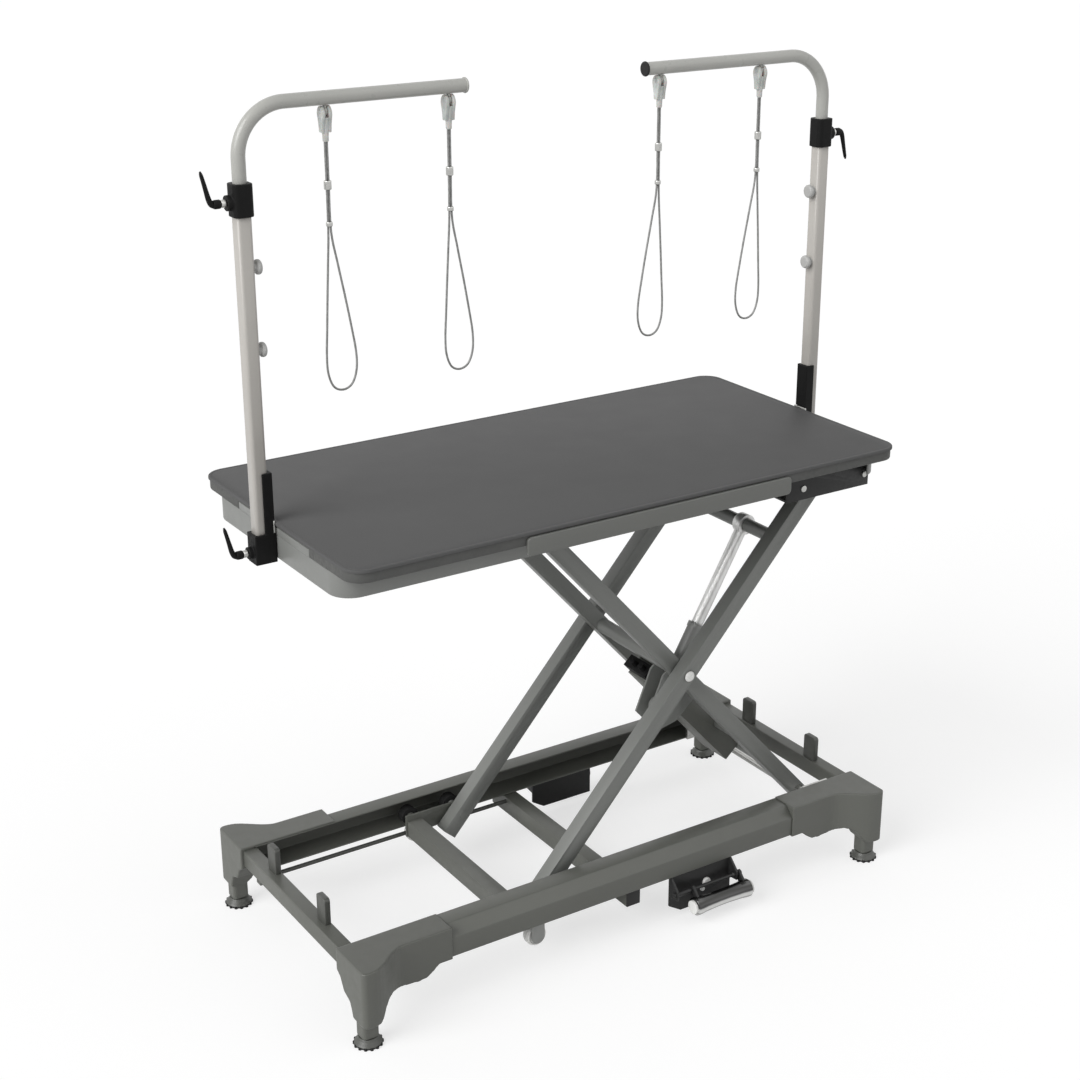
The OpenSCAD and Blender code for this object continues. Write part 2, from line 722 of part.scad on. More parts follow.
module lever(z, x, up) {
  rod_x(0, z, x - 10, x + 12, 8);
  rod_x(0, z, x + 0.4, x + 9, 12);
  rod_x(0, z, x + 8, x + 21, 14);
  along_y(-4, 4) polygon([[x + 14, z], [x + 21, z + up*8], [x + 35, z + up*51], [x + 38, z + up*53.5],
    [x + 41, z + up*51], [x + 31, z + up*4], [x + 27, z - up*4], [x + 20, z - up*6]]);
}
knob_z = [post_top - 86, post_top - 216];
module post() {
  color(STEEL) {
    translate([post_x, 0, clamp_z0 + 4]) linear_extrude(post_top - clamp_z0 - 4) difference() {
      square_tube(post_s);
      circle(d = tube_d + 2*slide_gap);
    }
    for (z = knob_z) translate([post_x - post_s/2 + 0.5, 0, z])
      rotate([0, -90, 0]) rotate_extrude() polygon([[0, 0], [9, 0], [7, 3], [8, 4.5], [11.5, 6],
        [12, 9], [11.5, 12], [9, 14], [4, 14], [4, 12], [0, 12]]);
  }
}
module collar() {
  color(BLACK) difference() {
    union() {
      translate([post_x, 0, collar_z0]) linear_extrude(collar_z1 - collar_z0)
        round_rect(2*collar_half, 2*collar_half, collar_r);
      rod_x(0, lever_z, post_x + collar_half - 1, post_x + collar_half + boss_l, boss_d);
    }
    translate([post_x, 0, collar_z0 - 1]) linear_extrude(post_top - collar_z0 + 1) square_tube(post_s);
    translate([post_x, 0, collar_z0]) cylinder(d = tube_d + 2*run, h = 100);
    rod_x(0, lever_z, post_x + 5, post_x + collar_half + boss_l + 1, 8 + 2*run);
  }
}
module arm_tube_bent() {
  color(FRAME_LIGHT) {
    translate([post_x, 0, post_top - 155]) cylinder(d = tube_d, h = arm_z - bend_r - post_top + 155);
    translate([post_x - bend_r, 0, arm_z - bend_r]) rotate([90, 0, 0])
      rotate_extrude(angle = 90) translate([bend_r, 0]) circle(d = tube_d);
    difference() {
      union() {
        rod_x(0, arm_z, tube_end_x + 1, post_x - bend_r, tube_d);
        for (x = noose_x) along_x(x - eye_t/2, x + eye_t/2) union() {
          translate([-6.5, arm_z - eye_drop]) square([13, eye_drop]);
          translate([0, arm_z - eye_drop]) circle(6.5);
        }
      }
      for (x = noose_x) rod_x(0, arm_z - eye_drop, x - eye_t, x + eye_t, eye_pin + 2*run);
    }
  }
}
module arm_cap() {
  color(BLACK) rod_x(0, arm_z, tube_end_x - 3, tube_end_x + 1, tube_d + 3);
}
module clamp_plate() {
  block(top_l/2 + 0.4, top_l/2 + 3.2, -clamp_half, clamp_half, clamp_z1, top_z + 2);
}
module clamp_plates() {
  color(STEEL) {
    clamp_plate();
    mirror([1, 0, 0]) clamp_plate();
  }
}
module right_clamp() { clamp(); }
module left_clamp() { mirror([1, 0, 0]) clamp(); }
module right_clamp_lever() { color(BLACK) lever(clamp_lever_z, clamp_x1 + boss_l, -1); }
module left_clamp_lever() { color(BLACK) mirror([1, 0, 0]) lever(clamp_lever_z, clamp_x1 + boss_l, 1); }
module right_post() { post(); }
module left_post() { mirror([1, 0, 0]) post(); }
module right_collar() { collar(); }
module left_collar() { mirror([1, 0, 0]) collar(); }
module right_collar_lever() { color(BLACK) lever(lever_z, post_x + collar_half + boss_l, -1); }
module left_collar_lever() {
  color(BLACK) mirror([1, 0, 0]) lever(lever_z, post_x + collar_half + boss_l, 1);
}
module right_arm_tube() { arm_tube_bent(); }
module left_arm_tube() { mirror([1, 0, 0]) arm_tube_bent(); }
module right_arm_cap() { arm_cap(); }
module left_arm_cap() { mirror([1, 0, 0]) arm_cap(); }

// Nooses: a cable swept along its points, and the hanger, ferrule and slider on it
noose_n = len(noose_rows);
noose_pts = concat([for (row = noose_rows) [row[1] + row[0], row[2]]], noose_low,
  [for (i = [noose_n - 1:-1:0]) [noose_rows[i][1] - noose_rows[i][0], noose_rows[i][2]]]);
ring_n = 8;
function tangent(i) = let(a = noose_pts[max(i - 1, 0)], b = noose_pts[min(i + 1, len(noose_pts) - 1)],
  l = norm(b - a)) [(b[0] - a[0])/l, -(b[1] - a[1])/l];
function ring(i) = let(t = tangent(i), c = noose_pts[i], r = cable_d/2)
  [for (k = [0:ring_n - 1]) let(u = r*cos(360*k/ring_n), v = r*sin(360*k/ring_n))
    [c[0] - t[1]*u, v, -c[1] + t[0]*u]];
module noose() {
  n = len(noose_pts);
  pts = [for (i = [0:n - 1]) each ring(i)];
  side = [for (i = [0:n - 2], k = [0:ring_n - 1]) let(a = i*ring_n + k, b = i*ring_n + (k + 1)%ring_n)
    each [[a, b, b + ring_n], [a, b + ring_n, a + ring_n]]];
  ends = [[for (k = [ring_n - 1:-1:0]) k], [for (k = [0:ring_n - 1]) (n - 1)*ring_n + k]];
  color(BLACK) polyhedron(points = pts, faces = concat(side, ends));
}
module at_noose(i) {
  side = i < 2 ? 1 : -1;
  x = i == 0 || i == 3 ? noose_x[1] : noose_x[0];
  translate([-side*x, 0, arm_z]) if (side > 0) children(); else mirror([1, 0, 0]) children();
}
module slot_hole(w, d, z0, z1) {
  translate([0, 0, z0]) linear_extrude(z1 - z0) union() {
    square([w - d, d], center = true);
    for (s = [-1, 1]) translate([s*(w - d)/2, 0]) circle(d/2);
  }
}
module noose_fittings() {
  strand = 2*noose_rows[0][0] + cable_d;
  color(STEEL) {
    difference() {
      union() {
        rod_x(0, -eye_drop, -9, 9, 16);
        translate([0, 0, -eye_drop - 12]) cylinder(d = 18, h = 8);
        translate([0, 0, -63]) cylinder(d1 = 11, d2 = 18, h = 63 - eye_drop - 12);
      }
      block(-eye_t/2 - 0.5, eye_t/2 + 0.5, -12, 12, -eye_drop - 9, 0);
    }
    rod_x(0, -eye_drop, -eye_t/2 - 1, eye_t/2 + 1, eye_pin);
    for (z = [-140, -198]) difference() {
      translate([0, 0, z]) cylinder(d = strand + 5, h = z == -140 ? 16 : 10);
      slot_hole(strand + 1.2, cable_d + 0.6, z - 1, z + 20);
    }
  }
}
module noose_1() { at_noose(0) noose(); }
module noose_2() { at_noose(1) noose(); }
module noose_3() { at_noose(2) noose(); }
module noose_4() { at_noose(3) noose(); }
module noose_1_fittings() { at_noose(0) noose_fittings(); }
module noose_2_fittings() { at_noose(1) noose_fittings(); }
module noose_3_fittings() { at_noose(2) noose_fittings(); }
module noose_4_fittings() { at_noose(3) noose_fittings(); }

front_rail();
rear_rail();
corner_shoes();
end_tubes();
table_stops();
cross_member();
guide_rod();
pedal_brackets();
castor_brackets();
lower_shaft();
castor_wheels();
front_left_foot();
front_right_foot();
rear_left_foot();
rear_right_foot();
front_pedal();
rear_pedal();
inner_frame();
centre_shaft();
drive_housing();
drive_end_cap();
upper_rollers();
outer_frame();
pivot_caps();
lower_rollers();
carriage();
guide_bush();
carriage_rollers();
strut_tube();
strut_rod();
mat();
board();
side_panels();
aprons();
top_frame();
top_bolts();
edge_strips();
clamp_plates();
left_clamp();
left_clamp_lever();
left_post();
left_collar();
left_collar_lever();
left_arm_tube();
left_arm_cap();
right_clamp();
right_clamp_lever();
right_post();
right_collar();
right_collar_lever();
right_arm_tube();
right_arm_cap();
noose_1();
noose_2();
noose_3();
noose_4();
noose_1_fittings();
noose_2_fittings();
noose_3_fittings();
noose_4_fittings();
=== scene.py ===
"""Looks of an electric grooming table: powder-coated scissor lift, rubber mat, two arms with nooses."""
import json
import math

import bmesh
import bpy
from mathutils import Matrix, Vector


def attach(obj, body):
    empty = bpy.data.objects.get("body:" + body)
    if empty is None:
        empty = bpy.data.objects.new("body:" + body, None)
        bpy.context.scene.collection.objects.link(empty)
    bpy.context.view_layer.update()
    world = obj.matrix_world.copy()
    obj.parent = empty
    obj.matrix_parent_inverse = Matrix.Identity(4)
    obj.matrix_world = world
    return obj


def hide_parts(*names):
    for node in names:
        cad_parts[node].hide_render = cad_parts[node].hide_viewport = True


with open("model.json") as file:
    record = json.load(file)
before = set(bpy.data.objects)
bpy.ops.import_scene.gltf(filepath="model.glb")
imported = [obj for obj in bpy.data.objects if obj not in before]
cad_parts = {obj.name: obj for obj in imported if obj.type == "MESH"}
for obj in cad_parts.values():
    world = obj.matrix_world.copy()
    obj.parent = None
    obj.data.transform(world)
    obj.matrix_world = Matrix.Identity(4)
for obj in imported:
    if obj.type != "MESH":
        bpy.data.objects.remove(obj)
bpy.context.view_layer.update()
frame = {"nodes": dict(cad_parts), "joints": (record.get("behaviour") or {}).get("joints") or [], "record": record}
NODES = frame["nodes"]
BODIES = frame["record"]["behaviour"]["bodies"]
BODY_OF = {node: body for body, nodes in BODIES.items() for node in nodes}
SLOT_OF = {part["node"]: part["material_slot"] for part in frame["record"]["subparts"]}

# Sizes are written in millimetres and angles in degrees: MM and DEG make them metres and radians.
MM = 0.001
DEG = math.pi / 180
JOINT_AT = {joint["name"]: [value / MM for value in joint["pos_m"]] for joint in frame["joints"]
            if "pos_m" in joint}


# The camera comes first; the cords' sizes were measured against its view.

CAMERA_PLACE = (-1717.3 * MM, -2608.4 * MM, 1906.8 * MM)
CAMERA_AZIMUTH, CAMERA_ELEVATION, CAMERA_ROLL = -32.79 * DEG, 21.2 * DEG, -0.195 * DEG
PHOTO_PIXELS, FOCAL_PIXELS, SENSOR_MM = 1080, 1881.2, 36.0


def place_camera():
    """The camera of the photograph, level but for a slight roll."""
    back = Vector((math.sin(CAMERA_AZIMUTH) * math.cos(CAMERA_ELEVATION),
                   -math.cos(CAMERA_AZIMUTH) * math.cos(CAMERA_ELEVATION), math.sin(CAMERA_ELEVATION)))
    right = Vector((math.cos(CAMERA_AZIMUTH), math.sin(CAMERA_AZIMUTH), 0))
    up = back.cross(right)
    turn = Matrix((right, up, back)).transposed().to_4x4() @ Matrix.Rotation(CAMERA_ROLL, 4, "Z")
    data = bpy.data.cameras.new("photo_camera")
    data.sensor_width = SENSOR_MM
    data.sensor_fit = "HORIZONTAL"
    data.lens = FOCAL_PIXELS / PHOTO_PIXELS * SENSOR_MM
    data.clip_end = 60
    camera = bpy.data.objects.new("photo_camera", data)
    camera.matrix_world = Matrix.Translation(CAMERA_PLACE) @ turn
    bpy.context.scene.collection.objects.link(camera)
    bpy.context.scene.camera = camera


place_camera()


# Finishes

class Finish:
    """A procedural material on Object coordinates, built up in layers of colour, roughness and relief."""

    def __init__(self, name, colour, roughness, metallic=0.0, **sockets):
        self.material = bpy.data.materials.new(name)
        self.material.use_nodes = True
        self.tree = self.material.node_tree
        self.nodes, self.links = self.tree.nodes, self.tree.links
        self.shader = self.nodes["Principled BSDF"]
        self.shader.inputs["Base Color"].default_value = (*colour, 1)
        self.shader.inputs["Roughness"].default_value = roughness
        self.shader.inputs["Metallic"].default_value = metallic
        for socket, value in sockets.items():
            self.shader.inputs[socket.replace("_", " ")].default_value = value
        self.coordinates = self.nodes.new("ShaderNodeTexCoord").outputs["Object"]
        self.normal = None

    def stretched(self, stretch):
        if stretch is None:
            return self.coordinates
        mapping = self.nodes.new("ShaderNodeMapping")
        mapping.inputs["Scale"].default_value = stretch
        self.links.new(self.coordinates, mapping.inputs["Vector"])
        return mapping.outputs["Vector"]

    def noise(self, scale, detail, stretch=None):
        node = self.nodes.new("ShaderNodeTexNoise")
        node.inputs["Scale"].default_value = scale
        node.inputs["Detail"].default_value = detail
        self.links.new(self.stretched(stretch), node.inputs["Vector"])
        return node.outputs["Fac"]

    def cells(self, scale):
        node = self.nodes.new("ShaderNodeTexVoronoi")
        node.inputs["Scale"].default_value = scale
        self.links.new(self.coordinates, node.inputs["Vector"])
        return node.outputs["Distance"]

    def ramp(self, fac, stops):
        node = self.nodes.new("ShaderNodeValToRGB")
        elements = node.color_ramp.elements
        while len(elements) < len(stops):
            elements.new(0.5)
        for element, (position, colour) in zip(elements, stops):
            element.position = position
            element.color = (*colour, 1)
        self.links.new(fac, node.inputs["Fac"])
        return node.outputs["Color"]

    def colour(self, fac, stops):
        """Base colour from a factor through a ramp of (position, colour) stops."""
        self.links.new(self.ramp(fac, stops), self.shader.inputs["Base Color"])
        return self

    def two_colours(self, fac_a, stops, fac_b, tint, low, high):
        """The ramp's colour, with a tint mixed in where the second factor is between low and high."""
        amount = self.spread(fac_b, low, high, 0.0, 1.0)
        mix = self.nodes.new("ShaderNodeMix")
        mix.data_type = "RGBA"
        self.links.new(amount, mix.inputs["Factor"])
        self.links.new(self.ramp(fac_a, stops), mix.inputs["A"])
        mix.inputs["B"].default_value = (*tint, 1)
        self.links.new(mix.outputs["Result"], self.shader.inputs["Base Color"])
        return self

    def spread(self, fac, from_low, from_high, to_low, to_high):
        node = self.nodes.new("ShaderNodeMapRange")
        for socket, value in zip(("From Min", "From Max", "To Min", "To Max"),
                                 (from_low, from_high, to_low, to_high)):
            node.inputs[socket].default_value = value
        self.links.new(fac, node.inputs["Value"])
        return node.outputs["Result"]

    def roughness(self, fac, low, high):
        self.links.new(self.spread(fac, 0.3, 0.7, low, high), self.shader.inputs["Roughness"])
        return self

    def relief(self, fac, strength, depth):
        """One more layer of bump, in metres of depth."""
        bump = self.nodes.new("ShaderNodeBump")
        bump.inputs["Strength"].default_value = strength
        bump.inputs["Distance"].default_value = depth
        self.links.new(fac, bump.inputs["Height"])
        if self.normal is not None:
            self.links.new(self.normal, bump.inputs["Normal"])
        self.normal = bump.outputs["Normal"]
        self.links.new(self.normal, self.shader.inputs["Normal"])
        return self


def shade(colour, factor):
    return tuple(min(1.0, channel * factor) for channel in colour)


def powder_coat(name, colour, roughness=0.42):
    """Satin powder coat: orange peel, faint cloudiness and a little dust."""
    coat = Finish(name, colour, roughness, Coat_Weight=0.12, Coat_Roughness=0.3)
    cloud = coat.noise(7, 4)
    coat.two_colours(cloud, [(0.3, shade(colour, 0.97)), (0.7, shade(colour, 1.03))],
                     coat.noise(900, 2), shade(colour, 1.15), 0.58, 0.8)
    coat.roughness(coat.noise(60, 5), roughness - 0.04, roughness + 0.06)
    coat.relief(coat.noise(420, 2), 0.12, 0.0003)
    coat.relief(coat.noise(2600, 1), 0.12, 0.00008)
    return coat.material


def moulded_plastic(name, colour, roughness, grain, sheen=0.5):
    """Moulded plastic with a fine spark-eroded grain."""
    plastic = Finish(name, colour, roughness, Specular_IOR_Level=sheen)
    plastic.colour(plastic.noise(40, 4), [(0.3, shade(colour, 0.94)), (0.7, shade(colour, 1.08))])
    plastic.roughness(plastic.noise(150, 4), roughness - 0.08, roughness + 0.12)
    plastic.relief(plastic.cells(1500), grain, 0.00012)
    return plastic.material


def drawn_metal(name, colour, roughness, along, streak):
    """Drawn and brushed metal: streaks that run along one axis."""
    metal = Finish(name, colour, roughness, 1.0, Anisotropic=0.3)
    stretch = [4.0 if axis == along else 900.0 for axis in range(3)]
    wide = [1.0 if axis == along else 120.0 for axis in range(3)]
    metal.colour(metal.noise(1, 4, wide), [(0.25, shade(colour, 0.86)), (0.75, shade(colour, 1.08))])
    metal.roughness(metal.noise(1, 3, stretch), roughness - 0.1, roughness + 0.14)
    metal.relief(metal.noise(1, 2, stretch), streak, 0.00006)
    return metal.material


def rubber_mat():
    """Dark rubber with a close pebbled grain, a touch paler where it has been wiped most."""
    colour = (0.084, 0.084, 0.084)
    rubber = Finish("rubber_mat", colour, 0.6, Specular_IOR_Level=0.2)
    rubber.two_colours(rubber.noise(1.8, 3), [(0.3, shade(colour, 0.98)), (0.72, shade(colour, 1.03))],
                       rubber.noise(1300, 2), shade(colour, 1.25), 0.55, 0.85)
    rubber.roughness(rubber.noise(18, 5), 0.6, 0.64)
    rubber.relief(rubber.cells(620), 0.3, 0.0002)
    rubber.relief(rubber.noise(140, 3), 0.05, 0.0002)
    return rubber.material


def stranded_steel():
    """Steel strands under a thin clear skin."""
    steel = Finish("cable_steel", (0.24, 0.24, 0.235), 0.45, 0.2)
    steel.colour(steel.noise(160, 4), [(0.35, (0.20, 0.20, 0.195)), (0.62, (0.29, 0.29, 0.285))])
    steel.roughness(steel.noise(500, 2), 0.45, 0.6)
    steel.relief(steel.noise(1800, 2), 0.2, 0.00008)
    return steel.material


def milky_plastic():
    """Milky plastic of the hangers, cloudy and a little glossy."""
    plastic = Finish("hanger_plastic", (0.52, 0.53, 0.51), 0.3, Subsurface_Weight=0.1)
    plastic.colour(plastic.noise(60, 3), [(0.3, (0.44, 0.45, 0.43)), (0.7, (0.60, 0.60, 0.58))])
    plastic.roughness(plastic.noise(120, 3), 0.24, 0.38)
    plastic.relief(plastic.noise(160, 2), 0.08, 0.0002)
    return plastic.material


def chrome_painted_reflection():
    """Chrome with a painted reflection: base colour in bands by height, a dark upper band painted for the dark
    bracket it would mirror above, over bright lower ones.
    """
    chrome = Finish("pedal_chrome_painted_reflection", (0.6, 0.6, 0.6), 0.2, 1.0)
    split = chrome.nodes.new("ShaderNodeSeparateXYZ")
    chrome.links.new(chrome.coordinates, split.inputs["Vector"])
    height = chrome.spread(split.outputs["Z"], 0.021, 0.055, 0.0, 1.0)
    # Painted reflection: these bands of base colour, set by height, stand in for what the chrome mirrors.
    painted_reflection_bands = ((0.0, (0.16, 0.16, 0.15)), (0.12, (0.80, 0.80, 0.79)), (0.26, (0.40, 0.40, 0.39)),
             (0.36, (0.86, 0.86, 0.85)), (0.52, (0.74, 0.74, 0.73)), (0.6, (0.10, 0.10, 0.10)),
             (0.84, (0.05, 0.05, 0.048)), (1.0, (0.16, 0.16, 0.16)))
    chrome.colour(height, painted_reflection_bands)
    chrome.roughness(chrome.noise(240, 5), 0.14, 0.26)
    chrome.relief(chrome.noise(700, 2), 0.05, 0.00005)
    return chrome.material


FRAME_COAT = powder_coat("frame_coat", (0.100, 0.103, 0.091))
ARM_COAT = powder_coat("arm_coat", (0.163, 0.168, 0.158))
APRON_COAT = powder_coat("apron_coat", (0.185, 0.189, 0.180), 0.36)
PANEL_COAT = powder_coat("panel_coat", (0.122, 0.125, 0.116), 0.4)
TUBE_COAT = powder_coat("tube_coat", (0.385, 0.385, 0.362), 0.3)
POST_COAT = powder_coat("post_coat", (0.42, 0.402, 0.375), 0.32)
STRUT_COAT = powder_coat("strut_coat", (0.24, 0.244, 0.235), 0.35)
EDGE_BAND = moulded_plastic("edge_band", (0.072, 0.073, 0.070), 0.55, 0.12, 0.4)
BLACK_CAST = moulded_plastic("black_cast", (0.006, 0.006, 0.006), 0.5, 0.3, 0.14)
BLACK_COAT = moulded_plastic("black_coat", (0.018, 0.018, 0.018), 0.4, 0.15, 0.35)
BLACK_RUBBER = moulded_plastic("black_rubber", (0.017, 0.017, 0.017), 0.7, 0.4, 0.25)
WHITE_PLASTIC = moulded_plastic("white_plastic", (0.74, 0.74, 0.72), 0.3, 0.08)
KNOB_PLASTIC = moulded_plastic("knob_plastic", (0.40, 0.40, 0.39), 0.4, 0.1)
GUIDE_COAT = moulded_plastic("guide_coat", (0.055, 0.057, 0.052), 0.42, 0.2)
ZINC = drawn_metal("zinc_plate", (0.58, 0.58, 0.56), 0.32, 1, 0.2)
ROD_STEEL = drawn_metal("rod_steel", (0.78, 0.78, 0.77), 0.42, 2, 0.1)
# The pedal bar's chrome has its reflection painted into its base colour.
PEDAL_CHROME_PAINTED_REFLECTION = chrome_painted_reflection()
FOOT_COAT = powder_coat("foot_coat", (0.070, 0.072, 0.065))
RUBBER = rubber_mat()
CABLE = stranded_steel()
MILKY = milky_plastic()


# Making and finishing meshes

SMOOTH_BELOW = 32 * DEG


def new_piece(name, mesh):
    piece = bpy.data.objects.new(name, mesh)
    bpy.context.scene.collection.objects.link(piece)
    return piece


def piece_from(name, bm):
    mesh = bpy.data.meshes.new(name)
    bm.to_mesh(mesh)
    bm.free()
    return new_piece(name, mesh)


def evaluated(piece):
    """The piece with its modifiers made real, as a plain mesh."""
    graph = bpy.context.evaluated_depsgraph_get()
    mesh = bpy.data.meshes.new_from_object(piece.evaluated_get(graph))
    mesh.name = piece.name
    piece.modifiers.clear()
    piece.data = mesh
    return piece


def shade_smooth(piece, below=SMOOTH_BELOW):
    piece.data.shade_smooth()
    piece.data.set_sharp_from_angle(angle=below)
    return piece


def dress(piece, body, slot, material, *replaced):
    """Gives a finished piece its material, its body and the nodes it stands for; the slot is not used."""
    piece.data.materials.clear()
    piece.data.materials.append(material)
    for polygon in piece.data.polygons:
        polygon.material_index = 0
    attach(piece, body)
    if replaced:
        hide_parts(*replaced)
    return piece


def merged_copy(node, name):
    """The node's solid as a clean mesh: doubles merged and flat faces whole again."""
    bm = bmesh.new()
    bm.from_mesh(NODES[node].data)
    bmesh.ops.remove_doubles(bm, verts=bm.verts, dist=0.000004)
    bmesh.ops.dissolve_degenerate(bm, dist=0.000002, edges=bm.edges)
    bmesh.ops.dissolve_limit(bm, angle_limit=0.4 * DEG, verts=bm.verts, edges=bm.edges)
    return piece_from(name, bm)


def eased(node, width_mm, material):
    """A node's solid with its edges broken to a small round, in its place."""
    piece = merged_copy(node, node + "_finished")
    bevel = piece.modifiers.new("edge_round", "BEVEL")
    bevel.width, bevel.segments = width_mm * MM, 2
    bevel.limit_method = "ANGLE"
    bevel.angle_limit = 34 * DEG
    bevel.use_clamp_overlap = True
    shade_smooth(evaluated(piece), 40 * DEG)
    return dress(piece, BODY_OF[node], SLOT_OF[node], material, node)


def turned(name, profile, centre, axis, steps=64):
    """A turned piece: (radius, along) points in mm about an axis through centre. Poles are closed."""
    along = Vector(axis).normalized()
    side = along.orthogonal().normalized()
    other = along.cross(side)
    origin = Vector(centre) * MM
    bm = bmesh.new()
    rings = []
    for radius, distance in profile:
        middle = origin + along * distance * MM
        if radius < 1e-6:
            rings.append([bm.verts.new(middle)])
            continue
        rings.append([bm.verts.new(middle + (side * math.cos(2 * math.pi * k / steps)
                      + other * math.sin(2 * math.pi * k / steps)) * radius * MM) for k in range(steps)])
    for a, b in zip(rings, rings[1:]):
        for k in range(steps):
            corners = [a[k % len(a)], a[(k + 1) % len(a)], b[(k + 1) % len(b)], b[k % len(b)]]
            unique = list(dict.fromkeys(corners))
            if len(unique) > 2:
                bm.faces.new(unique)
    for ring, flip in ((rings[0], True), (rings[-1], False)):
        if len(ring) > 1 and profile[0] != profile[-1]:
            bm.faces.new(reversed(ring) if flip else ring)
    if profile[0] == profile[-1]:
        bmesh.ops.remove_doubles(bm, verts=bm.verts, dist=1e-7)
    bmesh.ops.recalc_face_normals(bm, faces=bm.faces)
    return shade_smooth(piece_from(name, bm))


def rounded(profile, radius, steps=4):
    """The profile with the corners between its ends rounded to the radius, in mm."""
    points = [profile[0]]
    for before, corner, after in zip(profile, profile[1:], profile[2:]):
        a, c, b = Vector(before), Vector(corner), Vector(after)
        reach = min(radius, (a - c).length * 0.45, (b - c).length * 0.45)
        start, end = c + (a - c).normalized() * reach, c + (b - c).normalized() * reach
        for step in range(steps + 1):
            t = step / steps
            points.append(tuple(start * (1 - t) ** 2 + c * 2 * t * (1 - t) + end * t ** 2))
    return points + [profile[-1]]


def smooth_path(points, steps):
    """A smooth line through the points, with the given number of steps between two."""
    vectors = [Vector(p) for p in points]
    line = []
    padded = [vectors[0] * 2 - vectors[1]] + vectors + [vectors[-1] * 2 - vectors[-2]]
    for p0, p1, p2, p3 in zip(padded, padded[1:], padded[2:], padded[3:]):
        for step in range(steps):
            t = step / steps
            line.append(0.5 * (p1 * 2 + (p2 - p0) * t + (p0 * 2 - p1 * 5 + p2 * 4 - p3) * t * t
                               + (p1 * 3 - p0 - p2 * 3 + p3) * t ** 3))
    return line + [vectors[-1]]


def swept(name, line, sizes, sides, flat):
    """A round or oval body along a line in the XZ plane of its own place; sizes are radii in mm."""
    bm = bmesh.new()
    rings = []
    for k, point in enumerate(line):
        before, after = line[max(k - 1, 0)], line[min(k + 1, len(line) - 1)]
        forward = (after - before).normalized()
        across = Vector((0, 1, 0))
        up = forward.cross(across).normalized()
        radius = sizes[k] * MM
        rings.append([bm.verts.new(point + up * math.cos(2 * math.pi * s / sides) * radius
                      + across * math.sin(2 * math.pi * s / sides) * radius * flat) for s in range(sides)])
    for a, b in zip(rings, rings[1:]):
        for s in range(sides):
            bm.faces.new((a[s], a[(s + 1) % sides], b[(s + 1) % sides], b[s]))
    bm.faces.new(reversed(rings[0]))
    bm.faces.new(rings[-1])
    bmesh.ops.recalc_face_normals(bm, faces=bm.faces)
    return shade_smooth(piece_from(name, bm), 50 * DEG)


def joined(name, pieces):
    """Several new pieces as one mesh."""
    bm = bmesh.new()
    for piece in pieces:
        bm.from_mesh(piece.data)
    result = piece_from(name, bm)
    for piece in pieces:
        bpy.data.objects.remove(piece)
    return result


def plate(name, outline, low, high, round_mm=0.8):
    """A flat plate: an outline of (y, z) points in mm, from low to high along X, its edges broken."""
    bm = bmesh.new()
    faces = [[bm.verts.new((x * MM, y * MM, z * MM)) for y, z in outline] for x in (low, high)]
    for k in range(len(outline)):
        after = (k + 1) % len(outline)
        bm.faces.new((faces[0][k], faces[0][after], faces[1][after], faces[1][k]))
    for face in faces:
        bm.faces.new(face)
    bmesh.ops.recalc_face_normals(bm, faces=bm.faces)
    piece = piece_from(name, bm)
    bevel = piece.modifiers.new("edge_round", "BEVEL")
    bevel.width, bevel.segments = round_mm * MM, 2
    return evaluated(piece)


def stacked(name, loops, below):
    """A closed skin over loops of (x, y, z) points in mm, one above the other."""
    bm = bmesh.new()
    rows = [[bm.verts.new(Vector(point) * MM) for point in loop] for loop in loops]
    for a, b in zip(rows, rows[1:]):
        for k in range(len(a)):
            bm.faces.new((a[k], a[(k + 1) % len(a)], b[(k + 1) % len(b)], b[k]))
    bm.faces.new(rows[-1])
    bm.faces.new(reversed(rows[0]))
    bmesh.ops.remove_doubles(bm, verts=bm.verts, dist=1e-6)
    bmesh.ops.recalc_face_normals(bm, faces=bm.faces)
    return shade_smooth(piece_from(name, bm), below)


# Geometry node trees

